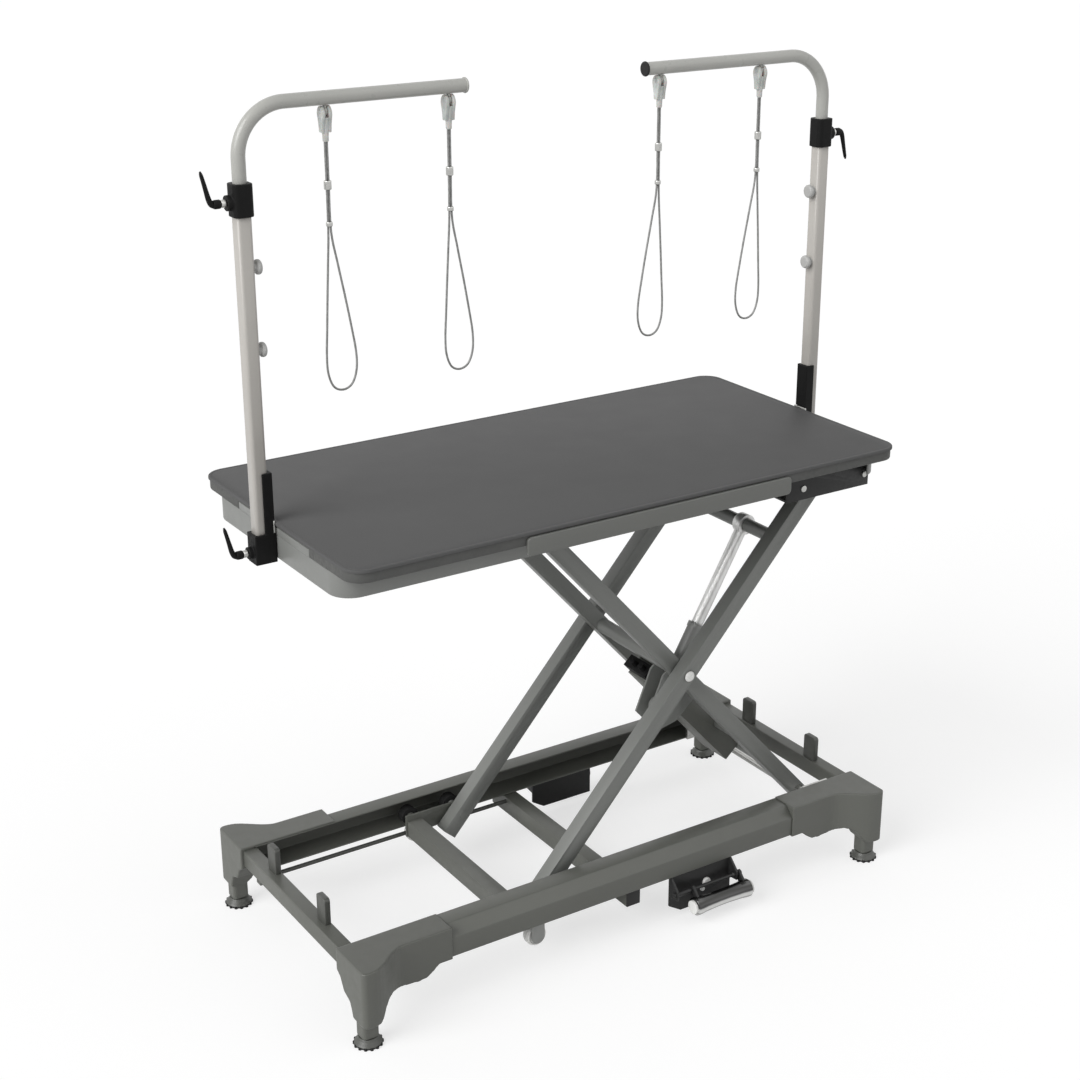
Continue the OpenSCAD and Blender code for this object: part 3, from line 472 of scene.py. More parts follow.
class Tree:
    """A geometry node tree with named inputs for its sizes."""

    def __init__(self, name, sizes):
        self.group = bpy.data.node_groups.new(name, "GeometryNodeTree")
        interface = self.group.interface
        interface.new_socket("Geometry", in_out="INPUT", socket_type="NodeSocketGeometry")
        self.identifiers = {}
        for size, value in sizes.items():
            kind = "NodeSocketInt" if isinstance(value, int) else "NodeSocketFloat"
            socket = interface.new_socket(size, in_out="INPUT", socket_type=kind)
            socket.default_value = value
            self.identifiers[size] = socket.identifier
        material = interface.new_socket("Material", in_out="INPUT", socket_type="NodeSocketMaterial")
        self.identifiers["Material"] = material.identifier
        interface.new_socket("Geometry", in_out="OUTPUT", socket_type="NodeSocketGeometry")
        self.source = self.add("NodeGroupInput").outputs
        self.sink = self.add("NodeGroupOutput").inputs

    def add(self, kind, **settings):
        node = self.group.nodes.new(kind)
        for key, value in settings.items():
            setattr(node, key, value)
        return node

    def link(self, output, socket):
        self.group.links.new(output, socket)

    def math(self, operation, a, b):
        node = self.add("ShaderNodeMath", operation=operation)
        for socket, value in zip(node.inputs, (a, b)):
            if isinstance(value, (int, float)):
                socket.default_value = value
            else:
                self.link(value, socket)
        return node.outputs[0]

    def close(self, geometry):
        """Real geometry, with the tree's material on it, to the output."""
        realize = self.add("GeometryNodeRealizeInstances")
        paint = self.add("GeometryNodeSetMaterial")
        self.link(geometry, realize.inputs["Geometry"])
        self.link(realize.outputs["Geometry"], paint.inputs["Geometry"])
        self.link(self.source["Material"], paint.inputs["Material"])
        self.link(paint.outputs["Geometry"], self.sink["Geometry"])

    def grow(self, name, points, edges, material, **sizes):
        """The tree's result on these points and edges, as a plain mesh piece."""
        mesh = bpy.data.meshes.new(name)
        mesh.from_pydata([tuple(p) for p in points], edges, [])
        piece = new_piece(name, mesh)
        modifier = piece.modifiers.new(name, "NODES")
        modifier.node_group = self.group
        for size, value in sizes.items():
            modifier[self.identifiers[size.replace("_", " ")]] = value
        modifier[self.identifiers["Material"]] = material
        return evaluated(piece)


def cable_tree():
    """Twisted strands along a path."""
    tree = Tree("stranded_cable", {"Cable Radius": 0.0022, "Lay Length": 0.018, "Strands": 6})
    curve = tree.add("GeometryNodeMeshToCurve")
    tree.link(tree.source["Geometry"], curve.inputs["Mesh"])
    parameter = tree.add("GeometryNodeSplineParameter")
    turns = tree.math("DIVIDE", parameter.outputs["Length"], tree.source["Lay Length"])
    tilt = tree.add("GeometryNodeSetCurveTilt")
    tree.link(curve.outputs["Curve"], tilt.inputs["Curve"])
    tree.link(tree.math("MULTIPLY", turns, 2 * math.pi), tilt.inputs["Tilt"])
    star = tree.add("GeometryNodeCurveStar")
    tree.link(tree.source["Strands"], star.inputs["Points"])
    tree.link(tree.math("MULTIPLY", tree.source["Cable Radius"], 0.97), star.inputs["Inner Radius"])
    tree.link(tree.source["Cable Radius"], star.inputs["Outer Radius"])
    body = tree.add("GeometryNodeCurveToMesh")
    body.inputs["Fill Caps"].default_value = True
    tree.link(tilt.outputs["Curve"], body.inputs["Curve"])
    tree.link(star.outputs["Curve"], body.inputs["Profile Curve"])
    tree.close(body.outputs["Mesh"])
    return tree


def bent_tube_tree():
    """A round tube along straight runs, with its corners bent to a radius."""
    tree = Tree("bent_tube", {"Tube Radius": 0.011, "Bend Radius": 0.08, "Sides": 48})
    curve = tree.add("GeometryNodeMeshToCurve")
    tree.link(tree.source["Geometry"], curve.inputs["Mesh"])
    bend = tree.add("GeometryNodeFilletCurve")
    tree.link(curve.outputs["Curve"], bend.inputs["Curve"])
    bend.mode = "POLY"
    bend.inputs["Count"].default_value = 28
    tree.link(tree.source["Bend Radius"], bend.inputs["Radius"])
    circle = tree.add("GeometryNodeCurvePrimitiveCircle")
    tree.link(tree.source["Sides"], circle.inputs["Resolution"])
    tree.link(tree.source["Tube Radius"], circle.inputs["Radius"])
    body = tree.add("GeometryNodeCurveToMesh")
    body.inputs["Fill Caps"].default_value = True
    tree.link(bend.outputs["Curve"], body.inputs["Curve"])
    tree.link(circle.outputs["Curve"], body.inputs["Profile Curve"])
    tree.close(body.outputs["Mesh"])
    return tree


def screw_tree():
    """Socket screw heads on points, all tilted about X by the same angle."""
    tree = Tree("socket_screws", {"Head Radius": 0.004, "Head Height": 0.003, "Tilt": 0.0})
    heads = []
    for vertices, scale, lift in ((32, 1.0, 0.0), (6, 0.52, 0.35)):
        cylinder = tree.add("GeometryNodeMeshCylinder")
        cylinder.inputs["Vertices"].default_value = vertices
        tree.link(tree.math("MULTIPLY", tree.source["Head Radius"], scale), cylinder.inputs["Radius"])
        tree.link(tree.source["Head Height"], cylinder.inputs["Depth"])
        move = tree.add("GeometryNodeTransform")
        offset = tree.add("ShaderNodeCombineXYZ")
        tree.link(tree.math("MULTIPLY", tree.source["Head Height"], 0.5 + lift), offset.inputs["Z"])
        tree.link(cylinder.outputs["Mesh"], move.inputs["Geometry"])
        tree.link(offset.outputs["Vector"], move.inputs["Translation"])
        heads.append(move.outputs["Geometry"])
    carve = tree.add("GeometryNodeMeshBoolean", operation="DIFFERENCE")
    tree.link(heads[0], carve.inputs["Mesh 1"])
    tree.link(heads[1], carve.inputs["Mesh 2"])
    tilt = tree.add("ShaderNodeCombineXYZ")
    tree.link(tree.source["Tilt"], tilt.inputs["X"])
    place = tree.add("GeometryNodeInstanceOnPoints")
    tree.link(tree.source["Geometry"], place.inputs["Points"])
    tree.link(carve.outputs["Mesh"], place.inputs["Instance"])
    tree.link(tilt.outputs["Vector"], place.inputs["Rotation"])
    tree.close(place.outputs["Instances"])
    return tree


def rib_tree():
    """Upright ribs in a ring round each point, as on a moulded foot."""
    tree = Tree("ring_of_ribs", {"Ring Radius": 0.02, "Rib Height": 0.008, "Rib Width": 0.0016, "Ribs": 24})
    ring = tree.add("GeometryNodeMeshCircle")
    tree.link(tree.source["Ribs"], ring.inputs["Vertices"])
    tree.link(tree.source["Ring Radius"], ring.inputs["Radius"])
    rib = tree.add("GeometryNodeMeshCylinder")
    rib.inputs["Vertices"].default_value = 16
    tree.link(tree.math("MULTIPLY", tree.source["Rib Width"], 0.5), rib.inputs["Radius"])
    tree.link(tree.source["Rib Height"], rib.inputs["Depth"])
    around = tree.add("GeometryNodeInstanceOnPoints")
    tree.link(ring.outputs["Mesh"], around.inputs["Points"])
    tree.link(rib.outputs["Mesh"], around.inputs["Instance"])
    rings = tree.add("GeometryNodeInstanceOnPoints")
    tree.link(tree.source["Geometry"], rings.inputs["Points"])
    tree.link(around.outputs["Instances"], rings.inputs["Instance"])
    tree.close(rings.outputs["Instances"])
    return tree


CABLE_TREE = cable_tree()
TUBE_TREE = bent_tube_tree()
SCREW_TREE = screw_tree()
RIB_TREE = rib_tree()


# Plain pieces of the frame: the CAD's solids with their edges eased

EASED = (
    ("front_rail", 2.2, FRAME_COAT), ("rear_rail", 2.2, FRAME_COAT), ("end_tubes", 1.4, FRAME_COAT),
    ("table_stops", 1.4, FOOT_COAT), ("inner_frame", 1.8, ARM_COAT), ("outer_frame", 1.8, ARM_COAT),
    ("carriage", 1.0, FRAME_COAT), ("drive_housing", 3.0, FRAME_COAT), ("board", 4.0, EDGE_BAND),
    ("aprons", 1.6, APRON_COAT), ("edge_strips", 0.9, APRON_COAT), ("side_panels", 1.6, PANEL_COAT),
    ("strut_tube", 1.0, STRUT_COAT), ("pedal_brackets", 1.0, BLACK_COAT),
    ("castor_brackets", 0.8, STRUT_COAT), ("drive_end_cap", 1.6, BLACK_CAST), ("strut_rod", 0.8, ROD_STEEL),
    ("guide_bush", 0.8, WHITE_PLASTIC), ("clamp_plates", 0.6, ZINC), ("top_bolts", 0.5, ZINC),
)
for node, width, material in EASED:
    eased(node, width, material)


def paint_shade_black(piece, inside):
    """Black coat on the faces whose middle lies inside: painted shade, dark where these faces lie in shade."""
    piece.data.materials.append(BLACK_COAT)
    for polygon in piece.data.polygons:
        if inside(polygon.center):
            polygon.material_index = 1


# Painted shade: the top frame's side channels at the right end and the cross member's stub ends get the black coat
# where they lie in shade.
CHANNEL_START, CHANNEL_INNER, CHANNEL_TOP, STUB_START = 340 * MM, 176 * MM, 803.6 * MM, 190 * MM
paint_shade_black(eased("top_frame", 1.0, FRAME_COAT),
       lambda c: c.x > CHANNEL_START and abs(c.y) > CHANNEL_INNER and c.z < CHANNEL_TOP)
paint_shade_black(eased("cross_member", 1.2, FRAME_COAT), lambda c: abs(c.y) > STUB_START)

PLAIN = {"guide_rod": GUIDE_COAT, "lower_shaft": ZINC, "centre_shaft": ZINC, "upper_rollers": BLACK_RUBBER,
         "lower_rollers": BLACK_RUBBER, "carriage_rollers": BLACK_RUBBER}
for node, material in PLAIN.items():
    NODES[node].data.materials.clear()
    NODES[node].data.materials.append(material)


# The mat

MAT_LENGTH, MAT_WIDTH, MAT_TOP, MAT_CORNER = 1100, 556, 848, 36


def rounded_outline(length, width, corner, steps=16):
    """A rectangle about the origin with its corners rounded, as (x, y) points in mm."""
    points = []
    for quarter, (sx, sy) in enumerate(((1, 1), (-1, 1), (-1, -1), (1, -1))):
        for step in range(steps + 1):
            angle = (quarter + step / steps) * math.pi / 2
            points.append((sx * (length / 2 - corner) + corner * math.cos(angle),
                           sy * (width / 2 - corner) + corner * math.sin(angle)))
    return points


def rubber_slab():
    """The mat: a slab with a soft upper edge and a raised bead a little way in."""
    rings = ((0.0, -5.0), (0.0, -1.8), (0.35, -0.8), (1.1, -0.2), (2.0, 0.0), (5.0, 0.0), (5.8, -0.35),
             (7.2, -0.35), (8.0, 0.0))
    loops = [[(x, y, MAT_TOP + height) for x, y in
              rounded_outline(MAT_LENGTH - 2 * inset, MAT_WIDTH - 2 * inset, MAT_CORNER - inset)]
             for inset, height in rings]
    return stacked("mat_slab", loops, 50 * DEG)


dress(rubber_slab(), "table_top", "mat", RUBBER, "mat")


# Castings and thick mouldings, whose every edge is soft

SHOE_SKIN, MOULDED_SKIN = (1.7, 3), (0.9, 5)
CORNERS = {"front_left": (-1, -1), "front_right": (1, -1), "rear_left": (-1, 1), "rear_right": (1, 1)}


def soften(piece, voxel_mm, steps):
    """A skin of even cells over the piece, smoothed, as a mould leaves it."""
    remesh = piece.modifiers.new("cast_skin", "REMESH")
    remesh.mode = "VOXEL"
    remesh.voxel_size = voxel_mm * MM
    smooth = piece.modifiers.new("cast_round", "SMOOTH")
    smooth.factor = 0.5
    smooth.iterations = steps
    return shade_smooth(evaluated(piece), 60 * DEG)


def cast_shoe(corner, side_x, side_y):
    """One corner's shoe, cut from the four in the CAD's node."""
    piece = merged_copy("corner_shoes", "shoe_" + corner)
    bm = bmesh.new()
    bm.from_mesh(piece.data)
    bmesh.ops.delete(bm, geom=[v for v in bm.verts if v.co.x * side_x < 0 or v.co.y * side_y < 0],
                     context="VERTS")
    bmesh.ops.triangulate(bm, faces=bm.faces)
    bm.to_mesh(piece.data)
    bm.free()
    return dress(soften(piece, *SHOE_SKIN), "base", "frame", FRAME_COAT, "corner_shoes")


for corner, sides in CORNERS.items():
    cast_shoe(corner, *sides)
for node in ("left_clamp", "right_clamp", "left_collar", "right_collar"):
    moulding = soften(merged_copy(node, node + "_moulded"), *MOULDED_SKIN)
    dress(moulding, BODY_OF[node], "black_plastic", BLACK_CAST, node)


# Levelling feet, castors and pivot caps

FOOT_X, FOOT_Y, _ = JOINT_AT["foot_rear_right_turn"]
LOBE_COUNT, LOBE_RING, LOBE_HEIGHT, LOBE_WIDTH, LOBE_MIDDLE = 14, 22.9, 4.6, 6.0, 2.4


def levelling_foot(corner, side_x, side_y):
    """A skirted stem on a rubber pad with lobes round its rim."""
    centre = (side_x * FOOT_X, side_y * FOOT_Y, 0)
    node = corner + "_foot"
    outline = rounded([(0, 3), (23.6, 3), (24.2, 4.6), (22.4, 7), (18.4, 11), (16.6, 15.4), (6, 15.6),
                       (6, 42), (0, 42)], 1.2)
    skirt = turned("foot_" + corner, outline, centre, (0, 0, 1))
    dress(skirt, BODY_OF[node], "black_plastic", FOOT_COAT, node)
    outline = rounded([(0, 0), (22.6, 0), (23.4, 0.8), (23.4, 3.2), (22.6, 4), (0, 4)], 0.6)
    disc = turned("disc", outline, centre, (0, 0, 1))
    lobes = RIB_TREE.grow("lobes", [Vector((centre[0], centre[1], LOBE_MIDDLE)) * MM], [], BLACK_RUBBER,
                          Ring_Radius=LOBE_RING * MM, Rib_Height=LOBE_HEIGHT * MM, Rib_Width=LOBE_WIDTH * MM,
                          Ribs=LOBE_COUNT)
    pad = shade_smooth(joined("foot_pad_" + corner, [disc, lobes]))
    dress(pad, BODY_OF[node], "black_plastic", BLACK_RUBBER)


for corner, sides in CORNERS.items():
    levelling_foot(corner, *sides)

SIDES = ((-1, "front"), (1, "rear"))
CASTOR = JOINT_AT["castor_spin"]
WHEEL_PROFILE = rounded([(4.05, -8.5), (9, -9), (10, -7), (14.5, -7), (16, -9), (18.5, -8.5), (20, -5),
                         (20, 5), (18.5, 8.5), (16, 9), (14.5, 7), (10, 7), (9, 9), (4.05, 8.5),
                         (4.05, -8.5)], 0.8)
for side, name in SIDES:
    wheel = turned("castor_" + name, WHEEL_PROFILE, (CASTOR[0], side * CASTOR[1], CASTOR[2]), (0, 1, 0))
    dress(wheel, "castors", "white_plastic", WHITE_PLASTIC, "castor_wheels")

CENTRE_PIVOT, PIVOT_FACE = JOINT_AT["cross"], 166
CAP_PROFILE = rounded([(0, 1.0), (9.4, 1.0), (10, 1.6), (10, 2.8), (8.6, 4.4), (4, 5.2), (3.2, 4.6),
                       (0, 4.6)], 0.8)
for side, name in SIDES:
    cap = turned("pivot_cap_" + name, CAP_PROFILE, (CENTRE_PIVOT[0], side * PIVOT_FACE, CENTRE_PIVOT[2]),
                 (0, side, 0))
    dress(cap, "inner_arms", "white_plastic", WHITE_PLASTIC, "pivot_caps")


# Plugs in the open ends of the scissor arms

RISE, RUN = CENTRE_PIVOT[2] - JOINT_AT["lift"][2], JOINT_AT["lift"][0] - CENTRE_PIVOT[0]
LIFT_ANGLE, HALF_SPAN = math.atan2(RISE, RUN), math.hypot(RISE, RUN)
OUTER_Y, INNER_Y, LOW_OVERHANG, OVERHANG = 152, 121, 48, 14
PLUG_SIZE, PLUG_INSET = (2.4, 22.6, 24.6), 1.6
PLUG_PLACES = (("outer_arms", OUTER_Y, 1, -HALF_SPAN - LOW_OVERHANG),
               ("outer_arms", OUTER_Y, 1, HALF_SPAN + OVERHANG),
               ("inner_arms", INNER_Y, -1, -HALF_SPAN - OVERHANG),
               ("inner_arms", INNER_Y, -1, HALF_SPAN + OVERHANG))


def arm_plugs(body):
    """Thin moulded plugs, set into the ends of the arms' tubes."""
    bm = bmesh.new()
    for owner, offset, lean, along in PLUG_PLACES:
        if owner != body:
            continue
        turn = Matrix.Rotation(-lean * LIFT_ANGLE, 4, "Y")
        middle = Matrix.Translation((CENTRE_PIVOT[0] * MM, 0, CENTRE_PIVOT[2] * MM))
        inwards = -1 if along > 0 else 1
        for side in (-1, 1):
            place = Matrix.Translation(((along + inwards * PLUG_INSET) * MM, side * offset * MM, 0))
            block = bmesh.ops.create_cube(bm, size=1.0)["verts"]
            bmesh.ops.scale(bm, vec=Vector(PLUG_SIZE) * MM, verts=block)
            bmesh.ops.transform(bm, matrix=middle @ turn @ place, verts=block)
    plugs = piece_from("arm_plugs_" + body, bm)
    bevel = plugs.modifiers.new("edge_round", "BEVEL")
    bevel.width, bevel.segments = 0.8 * MM, 2
    shade_smooth(evaluated(plugs))
    return dress(plugs, body, "black_plastic", BLACK_RUBBER)


arm_plugs("outer_arms")
arm_plugs("inner_arms")


# The grooming arms

EYE_DROP = 20
EYE_JOINTS = {"left": ("noose_2_swing", "noose_1_swing"), "right": ("noose_3_swing", "noose_4_swing")}
ARM_Z = JOINT_AT["noose_1_swing"][2] + EYE_DROP
POST_X, TUBE_FOOT_Z, TUBE_END_X = 569, 1190, 176
BEND_RADIUS, TUBE_RADIUS, NECK_FLAT = 78, 11, 0.52
EYE_PROFILE = rounded([(3.1, -2.5), (6.0, -2.5), (6.5, -1.8), (6.5, 1.8), (6.0, 2.5), (3.1, 2.5),
                       (3.1, -2.5)], 0.5)
POST_SIDE, POST_CORNER, POST_CHAMFER, POST_LOW, POST_TOP = 25, 6, 0.8, 784.1, 1344.9
KNOB_HEIGHTS, KNOB_SINK = (1259, 1129), 0.2
KNOB_PROFILE = rounded([(0, 0), (9, 0), (7, 3), (8, 4.5), (11.5, 6), (12, 9), (11.5, 12), (9, 13.8),
                        (0, 13.8)], 1.2)


def bent_tube(name, side):
    """The curved tube, its two eyes for the nooses, and its end cap."""
    corners = [Vector((side * x, 0, z)) * MM for x, z in ((POST_X, TUBE_FOOT_Z), (POST_X, ARM_Z),
                                                          (TUBE_END_X + 1, ARM_Z))]
    tube = TUBE_TREE.grow("tube", corners, [(0, 1), (1, 2)], TUBE_COAT, Tube_Radius=TUBE_RADIUS * MM,
                          Bend_Radius=BEND_RADIUS * MM)
    eyes = []
    for joint in EYE_JOINTS[name]:
        x = JOINT_AT[joint][0]
        ring = turned("eye", EYE_PROFILE, JOINT_AT[joint], (1, 0, 0), 40)
        neck = turned("neck", [(5.6, -14.2), (4.4, -12.5), (4.2, -11.5), (5.6, -10.2), (7.2, -9.4)],
                      (x, 0, ARM_Z), (0, 0, 1), 32)
        for v in neck.data.vertices:
            v.co.x = x * MM + (v.co.x - x * MM) * NECK_FLAT
        eyes += [ring, neck]
    arm = joined(name + "_tube_bent", [tube] + eyes)
    shade_smooth(arm)
    dress(arm, BODY_OF[name + "_arm_tube"], "frame_light", TUBE_COAT, name + "_arm_tube")
    cap = turned(name + "_tube_cap", rounded([(0, -3), (10.5, -3), (12.5, -1.6), (12.5, 1), (0, 1)], 1.2),
                 (side * TUBE_END_X, 0, ARM_Z), (side, 0, 0))
    dress(cap, BODY_OF[name + "_arm_cap"], "black_plastic", BLACK_RUBBER if side > 0 else TUBE_COAT,
          name + "_arm_cap")


HUB_PROFILE = rounded([(4, -9), (4, 8.6), (6.2, 8.6), (7, 10), (7, 18), (6.2, 20.2), (0, 21)], 1.0)
LEVER_BENDS = ((14.0, -0.5), (19.0, -1.0), (23.5, 1.5), (27.0, 9.0), (29.8, 20.0), (33.2, 34.0), (37.6, 51.0))
LEVER_RADII, LEVER_TIP, LEVER_STEPS = (4.8, 4.8, 4.6, 4.2, 3.7, 3.3, 2.8, 2.8), [2.3, 1.3], 6
FERRULE_PROFILE = rounded([(4.1, 0.4), (5.4, 0.4), (6, 1.2), (6, 7.4), (5.4, 8.4), (4.1, 8.4),
                           (4.1, 0.4)], 0.4)


def clamping_lever(node, root, side, up):
    """A moulded L-lever: domed hub, knee, and a handle that tapers to its tip, with a zinc ferrule."""
    hub = turned("hub", HUB_PROFILE, root, (side, 0, 0), 48)
    line = smooth_path([Vector((root[0] + side * dx, 0, root[2] + up * dz)) * MM for dx, dz in LEVER_BENDS],
                       LEVER_STEPS)
    sizes = []
    for k in range(len(line)):
        bend, step = divmod(k, LEVER_STEPS)
        thick, thin = LEVER_RADII[bend:bend + 2]
        sizes.append(thick + (thin - thick) * step / LEVER_STEPS)
    sizes[-2:] = LEVER_TIP
    handle = swept("handle", line, sizes, 20, 0.98)
    lever = joined(node + "_moulded", [hub, handle])
    shade_smooth(lever, 50 * DEG)
    dress(lever, BODY_OF[node], "black_plastic", BLACK_CAST, node)
    dress(turned(node + "_ferrule", FERRULE_PROFILE, root, (side, 0, 0), 32), BODY_OF[node], "steel", ZINC)


def post(name, side):
    """The square upright with its soft corners, and its two clamping knobs."""
    heights = ((POST_LOW, POST_CHAMFER), (POST_LOW + POST_CHAMFER, 0), (POST_TOP - POST_CHAMFER, 0),
               (POST_TOP, POST_CHAMFER))
    loops = [[(side * POST_X + x, y, height) for x, y in
              rounded_outline(POST_SIDE - 2 * inset, POST_SIDE - 2 * inset, POST_CORNER - inset, 8)]
             for height, inset in heights]
    body = BODY_OF[name + "_post"]
    dress(stacked(name + "_upright", loops, 50 * DEG), body, "frame_light", POST_COAT, name + "_post")
    root = side * (POST_X - POST_SIDE / 2 + KNOB_SINK)
    knobs = [turned("knob", KNOB_PROFILE, (root, 0, height), (-side, 0, 0), 48) for height in KNOB_HEIGHTS]
    dress(shade_smooth(joined(name + "_knobs", knobs)), body, "white_plastic", KNOB_PLASTIC)


for side, name, up in ((-1, "left", 1), (1, "right", -1)):
    bent_tube(name, side)
    post(name, side)
    for part in ("clamp", "collar"):
        root = JOINT_AT["%s_lever_%s_turn" % (part, name)]
        clamping_lever("%s_%s_lever" % (name, part), root, side, up)


# The nooses

CABLE_DIAMETER, CABLE_LAY = 3.6 * MM, 250 * MM
NOOSE_ROWS = ((1.8, 0, 63), (1.8, 0, 132), (2.4, 0, 204), (8.5, 3, 256), (15.5, 6.5, 310), (21.5, 9.5, 360),
              (26, 11.5, 402), (25, 12, 432), (16, 12, 454))
NOOSE_LOW = (12, 461)
HANGER = ((0, 8.7), (4.7, 7.2), (8.2, 3), (9.6, -0.5), (10.2, -4.5), (8.6, -11), (6.6, -19), (5, -32),
          (-5, -32), (-6.6, -19), (-8.6, -11), (-10.2, -4.5), (-9.6, -0.5), (-8.2, 3), (-4.7, 7.2))
CHEEK_FACES = (3.2, 8.6)
STEM_PROFILE = rounded([(0, -66), (4.2, -66), (4.8, -65), (5.0, -58), (5.8, -48), (7.2, -38), (8.2, -30),
                        (8.0, -29.2), (0, -29.2)], 1.0)
PIN_RADIUS, PIN_REACH = 3.0, 9.8
CABLE_BORE, RINGS = 3.9, ((-139, -125, 6.0), (-196, -189, 5.3))


def noose_line(x, side):
    """The cable's path: down one side, round the loop and up the other."""
    down = [(lean + half, depth) for half, lean, depth in NOOSE_ROWS]
    back = [(lean - half, depth) for half, lean, depth in reversed(NOOSE_ROWS)]
    return smooth_path([Vector((x - side * offset, 0, ARM_Z - depth)) * MM
                        for offset, depth in down + [NOOSE_LOW] + back], 10)


def noose(number):
    """One noose: its cable, the hanger on the tube's eye, and the ferrule and slider on the cable."""
    node = "noose_%d" % number
    body = BODY_OF[node]
    x, _, eye_z = JOINT_AT[node + "_swing"]
    line = noose_line(x, math.copysign(1, x))
    cable = CABLE_TREE.grow(node + "_cable", line, [(k, k + 1) for k in range(len(line) - 1)], CABLE,
                            Cable_Radius=CABLE_DIAMETER / 2, Lay_Length=CABLE_LAY)
    shade_smooth(cable, 70 * DEG)
    dress(cable, body, "cable", CABLE, node)
    centre = (x, 0, ARM_Z)
    outline = [(across, eye_z + rise) for across, rise in HANGER]
    cheeks = []
    for cheek in (-1, 1):
        low, high = sorted(x + cheek * face for face in CHEEK_FACES)
        cheeks.append(plate("cheek", outline, low, high, 1.2))
    pin = turned("pin", [(0, -PIN_REACH), (PIN_RADIUS, -PIN_REACH), (PIN_RADIUS, PIN_REACH), (0, PIN_REACH)],
                 (x, 0, eye_z), (1, 0, 0), 24)
    stem = turned("stem", STEM_PROFILE, centre, (0, 0, 1), 40)
    hanger = joined("hanger_%d" % number, cheeks + [pin, stem])
    dress(shade_smooth(hanger), body, "white_plastic", MILKY, node + "_fittings")
    rings = []
    for low, high, outer in RINGS:
        outline = rounded([(CABLE_BORE, low), (outer - 0.6, low), (outer, low + 1), (outer, high - 1),
                           (outer - 0.6, high), (CABLE_BORE, high), (CABLE_BORE, low)], 0.6)
        rings.append(turned("ring", outline, centre, (0, 0, 1), 40))
    ferrules = joined(node + "_ferrules", rings)
    dress(shade_smooth(ferrules), body, "steel", ZINC, node + "_fittings")


for number in (1, 2, 3, 4):
    noose(number)


# The foot pedals

PEDAL_Y, PEDAL_Z, PEDAL_RADIUS, PEDAL_LENGTH = 270, 38, 17, 135
PEDAL_X, PIVOT_Y, PIVOT_Z = JOINT_AT["pedal_rear_tilt"]
BRACKET_END, ROD_START, ROD_OVERHANG, LINK_THICKNESS = 232, 27.9, 11, 5


def pedal(name, side):
    """A waisted chrome bar with pale ends, on a black rod and two links."""
    start, half, end = PEDAL_X - PEDAL_LENGTH / 2, PEDAL_LENGTH / 2, PEDAL_LENGTH
    radius = PEDAL_RADIUS
    root = (start, side * PEDAL_Y, PEDAL_Z)
    waist = rounded([(0, 4.6), (radius - 4.2, 4.6), (radius, 6), (radius, 14), (radius - 1.6, 26),
                     (radius - 2.9, half - 12), (radius - 2.9, half + 12), (radius - 1.6, end - 26),
                     (radius, end - 14), (radius, end - 6), (radius - 4.2, end - 4.6), (0, end - 4.6)], 1.4)
    node = name + "_pedal"
    dress(turned(node + "_bar", waist, root, (1, 0, 0), 72), BODY_OF[node], "chrome", PEDAL_CHROME_PAINTED_REFLECTION, node)
    ends = []
    for low, high in ((0, 5.2), (end - 5.2, end)):
        disc = rounded([(0, low), (radius - 4.6, low), (radius - 4, low + 0.6), (radius - 4, high - 0.6),
                        (radius - 4.6, high), (0, high)], 0.5)
        ends.append(turned("end", disc, root, (1, 0, 0), 64))
    dress(shade_smooth(joined(node + "_ends", ends)), BODY_OF[node], "white_plastic", WHITE_PLASTIC)
    length = BRACKET_END + ROD_OVERHANG + ROD_START - start
    stepped = rounded([(0, 0), (5, 0), (5, 36), (3.4, 37), (3.4, length - 20), (5, length - 19), (5, length),
                       (0, length)], 0.8)
    parts = [turned("rod", stepped, (start - ROD_START, side * PIVOT_Y, PIVOT_Z), (1, 0, 0), 32)]
    outline = ((PIVOT_Y - 8, PIVOT_Z + 1), (PIVOT_Y + 2, PIVOT_Z + 9), (PEDAL_Y + 6, PEDAL_Z + 10),
               (PEDAL_Y - 4, PEDAL_Z - 8))
    for x in (start + 12, BRACKET_END + 3):
        parts.append(plate("link", [(side * y, z) for y, z in outline], x, x + LINK_THICKNESS))
    dress(shade_smooth(joined(node + "_links", parts)), BODY_OF[node], "black_plastic", BLACK_COAT)


pedal("front", -1)
pedal("rear", 1)


# Bolts and screws

BRACKET_FACE, BRACKET_BOLTS = 234.2, ((175.5, 56, 8.5), (166.5, 44, 4.4))
CHANNEL_FACE, SCREW_Z, SCREWS_X, SCREW_RADIUS, SCREW_HEIGHT = 215.1, 782, (524, 381), 5.2, 2.6


def bracket_bolts(name, side):
    """The large bolt of a pedal's bracket and the small one below it."""
    bolts = [turned("bolt", rounded([(0, -1), (radius, -1), (radius, 3), (radius - 1.2, 4.6), (0, 5)], 0.5),
                    (x, side * BRACKET_FACE, z), (0, side, 0), 32) for x, z, radius in BRACKET_BOLTS]
    dress(shade_smooth(joined("bracket_bolts_" + name, bolts)), "base", "steel", WHITE_PLASTIC)


def channel_screws(name, side):
    """Two socket screws in the face of a side channel."""
    places = [Vector((x, side * CHANNEL_FACE, SCREW_Z)) * MM for x in SCREWS_X]
    piece = SCREW_TREE.grow("channel_screws_" + name, places, [], ZINC, Head_Radius=SCREW_RADIUS * MM,
                            Head_Height=SCREW_HEIGHT * MM, Tilt=-side * 90 * DEG)
    dress(shade_smooth(piece), "table_top", "steel", ZINC)


for side, name in SIDES:
    bracket_bolts(name, side)
for side, name in SIDES:
    channel_screws(name, side)


# Floor and light

GLOW, GLOW_SHARE, FLOOR_REACH, SURROUND_LIGHT = 1.26, 0.5, 30, 0.42
LAMPS = (("key", (-0.85, -0.12, 0.51), 2.6, 45), ("fill", (0.5, -0.6, 0.62), 0.35, 60))


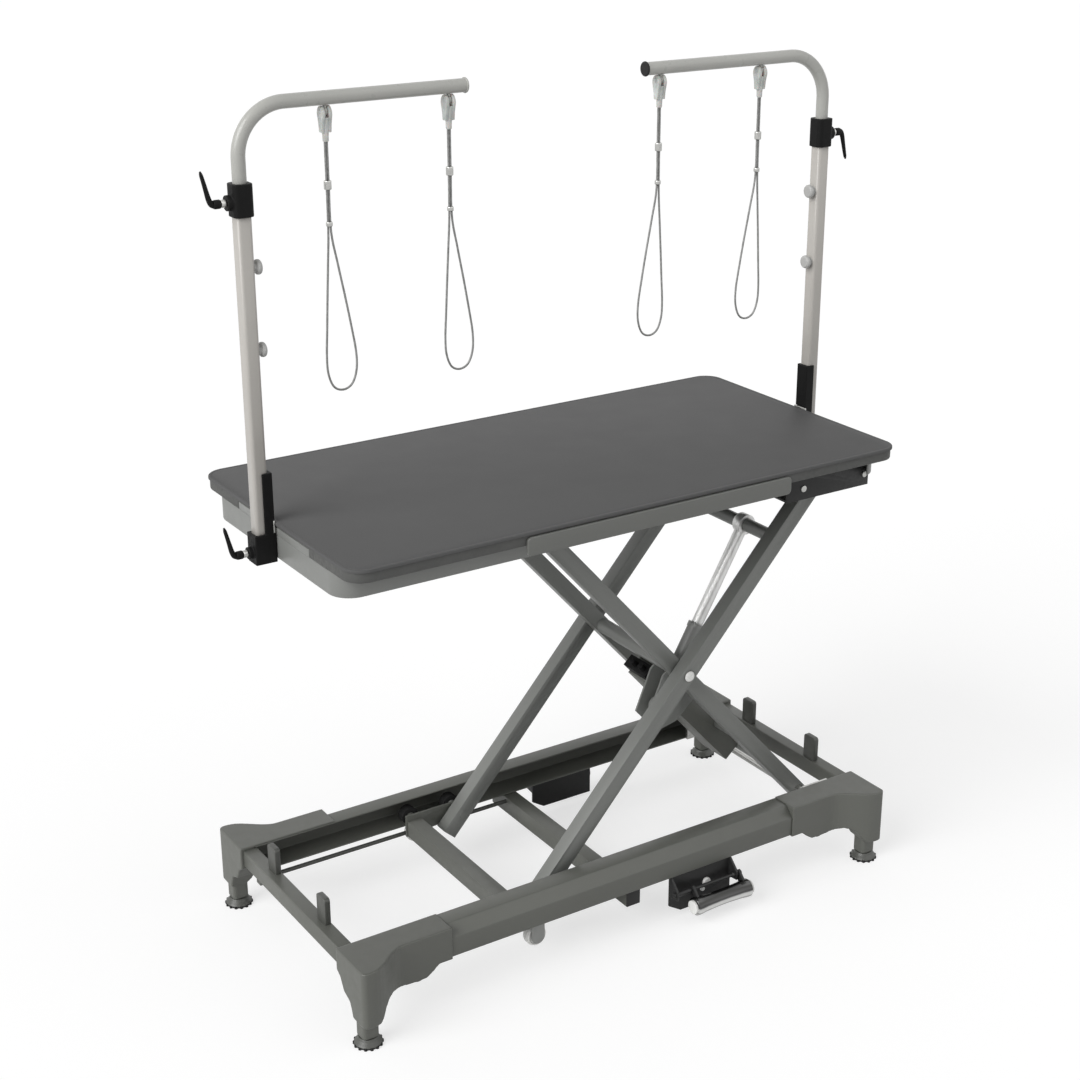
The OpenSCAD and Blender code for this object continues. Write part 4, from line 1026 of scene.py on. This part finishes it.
def floor_and_light():
    """A pale floor that keeps the shadow, a pale surround and plain soft lamps."""
    bm = bmesh.new()
    bmesh.ops.create_grid(bm, x_segments=1, y_segments=1, size=FLOOR_REACH)
    floor = piece_from("floor", bm)
    white = Finish("floor_white", (0.84, 0.84, 0.84), 0.9, Specular_IOR_Level=0.0)
    path = white.nodes.new("ShaderNodeLightPath")
    glow = white.nodes.new("ShaderNodeEmission")
    glow.inputs["Color"].default_value = (1, 1, 1, 1)
    glow.inputs["Strength"].default_value = GLOW
    mix = white.nodes.new("ShaderNodeMixShader")
    share = white.nodes.new("ShaderNodeMath")
    share.operation = "MULTIPLY"
    share.inputs[1].default_value = GLOW_SHARE
    white.links.new(path.outputs["Is Camera Ray"], share.inputs[0])
    white.links.new(share.outputs["Value"], mix.inputs["Fac"])
    white.links.new(white.shader.outputs["BSDF"], mix.inputs[1])
    white.links.new(glow.outputs["Emission"], mix.inputs[2])
    output = white.nodes["Material Output"]
    white.links.new(mix.outputs["Shader"], output.inputs["Surface"])
    floor.data.materials.append(white.material)

    world = bpy.data.worlds.new("surround")
    bpy.context.scene.world = world
    world.use_nodes = True
    nodes, links = world.node_tree.nodes, world.node_tree.links
    background = nodes["Background"]
    path = nodes.new("ShaderNodeLightPath")
    seen = path.outputs["Is Camera Ray"]
    for ray in ("Is Glossy Ray", "Is Transmission Ray"):
        either = nodes.new("ShaderNodeMath")
        either.operation = "MAXIMUM"
        links.new(seen, either.inputs[0])
        links.new(path.outputs[ray], either.inputs[1])
        seen = either.outputs["Value"]
    strength = nodes.new("ShaderNodeMapRange")
    strength.inputs["To Min"].default_value = SURROUND_LIGHT
    strength.inputs["To Max"].default_value = 1.0
    links.new(seen, strength.inputs["Value"])
    links.new(strength.outputs["Result"], background.inputs["Strength"])
    background.inputs["Color"].default_value = (1, 1, 1, 1)

    for name, towards, power, spread in LAMPS:
        data = bpy.data.lights.new(name, "SUN")
        data.energy = power
        data.angle = spread * DEG
        lamp = bpy.data.objects.new(name, data)
        lamp.matrix_world = (-Vector(towards)).to_track_quat("-Z", "Y").to_matrix().to_4x4()
        bpy.context.scene.collection.objects.link(lamp)


floor_and_light()
bpy.context.scene.view_settings.view_transform = "Standard"
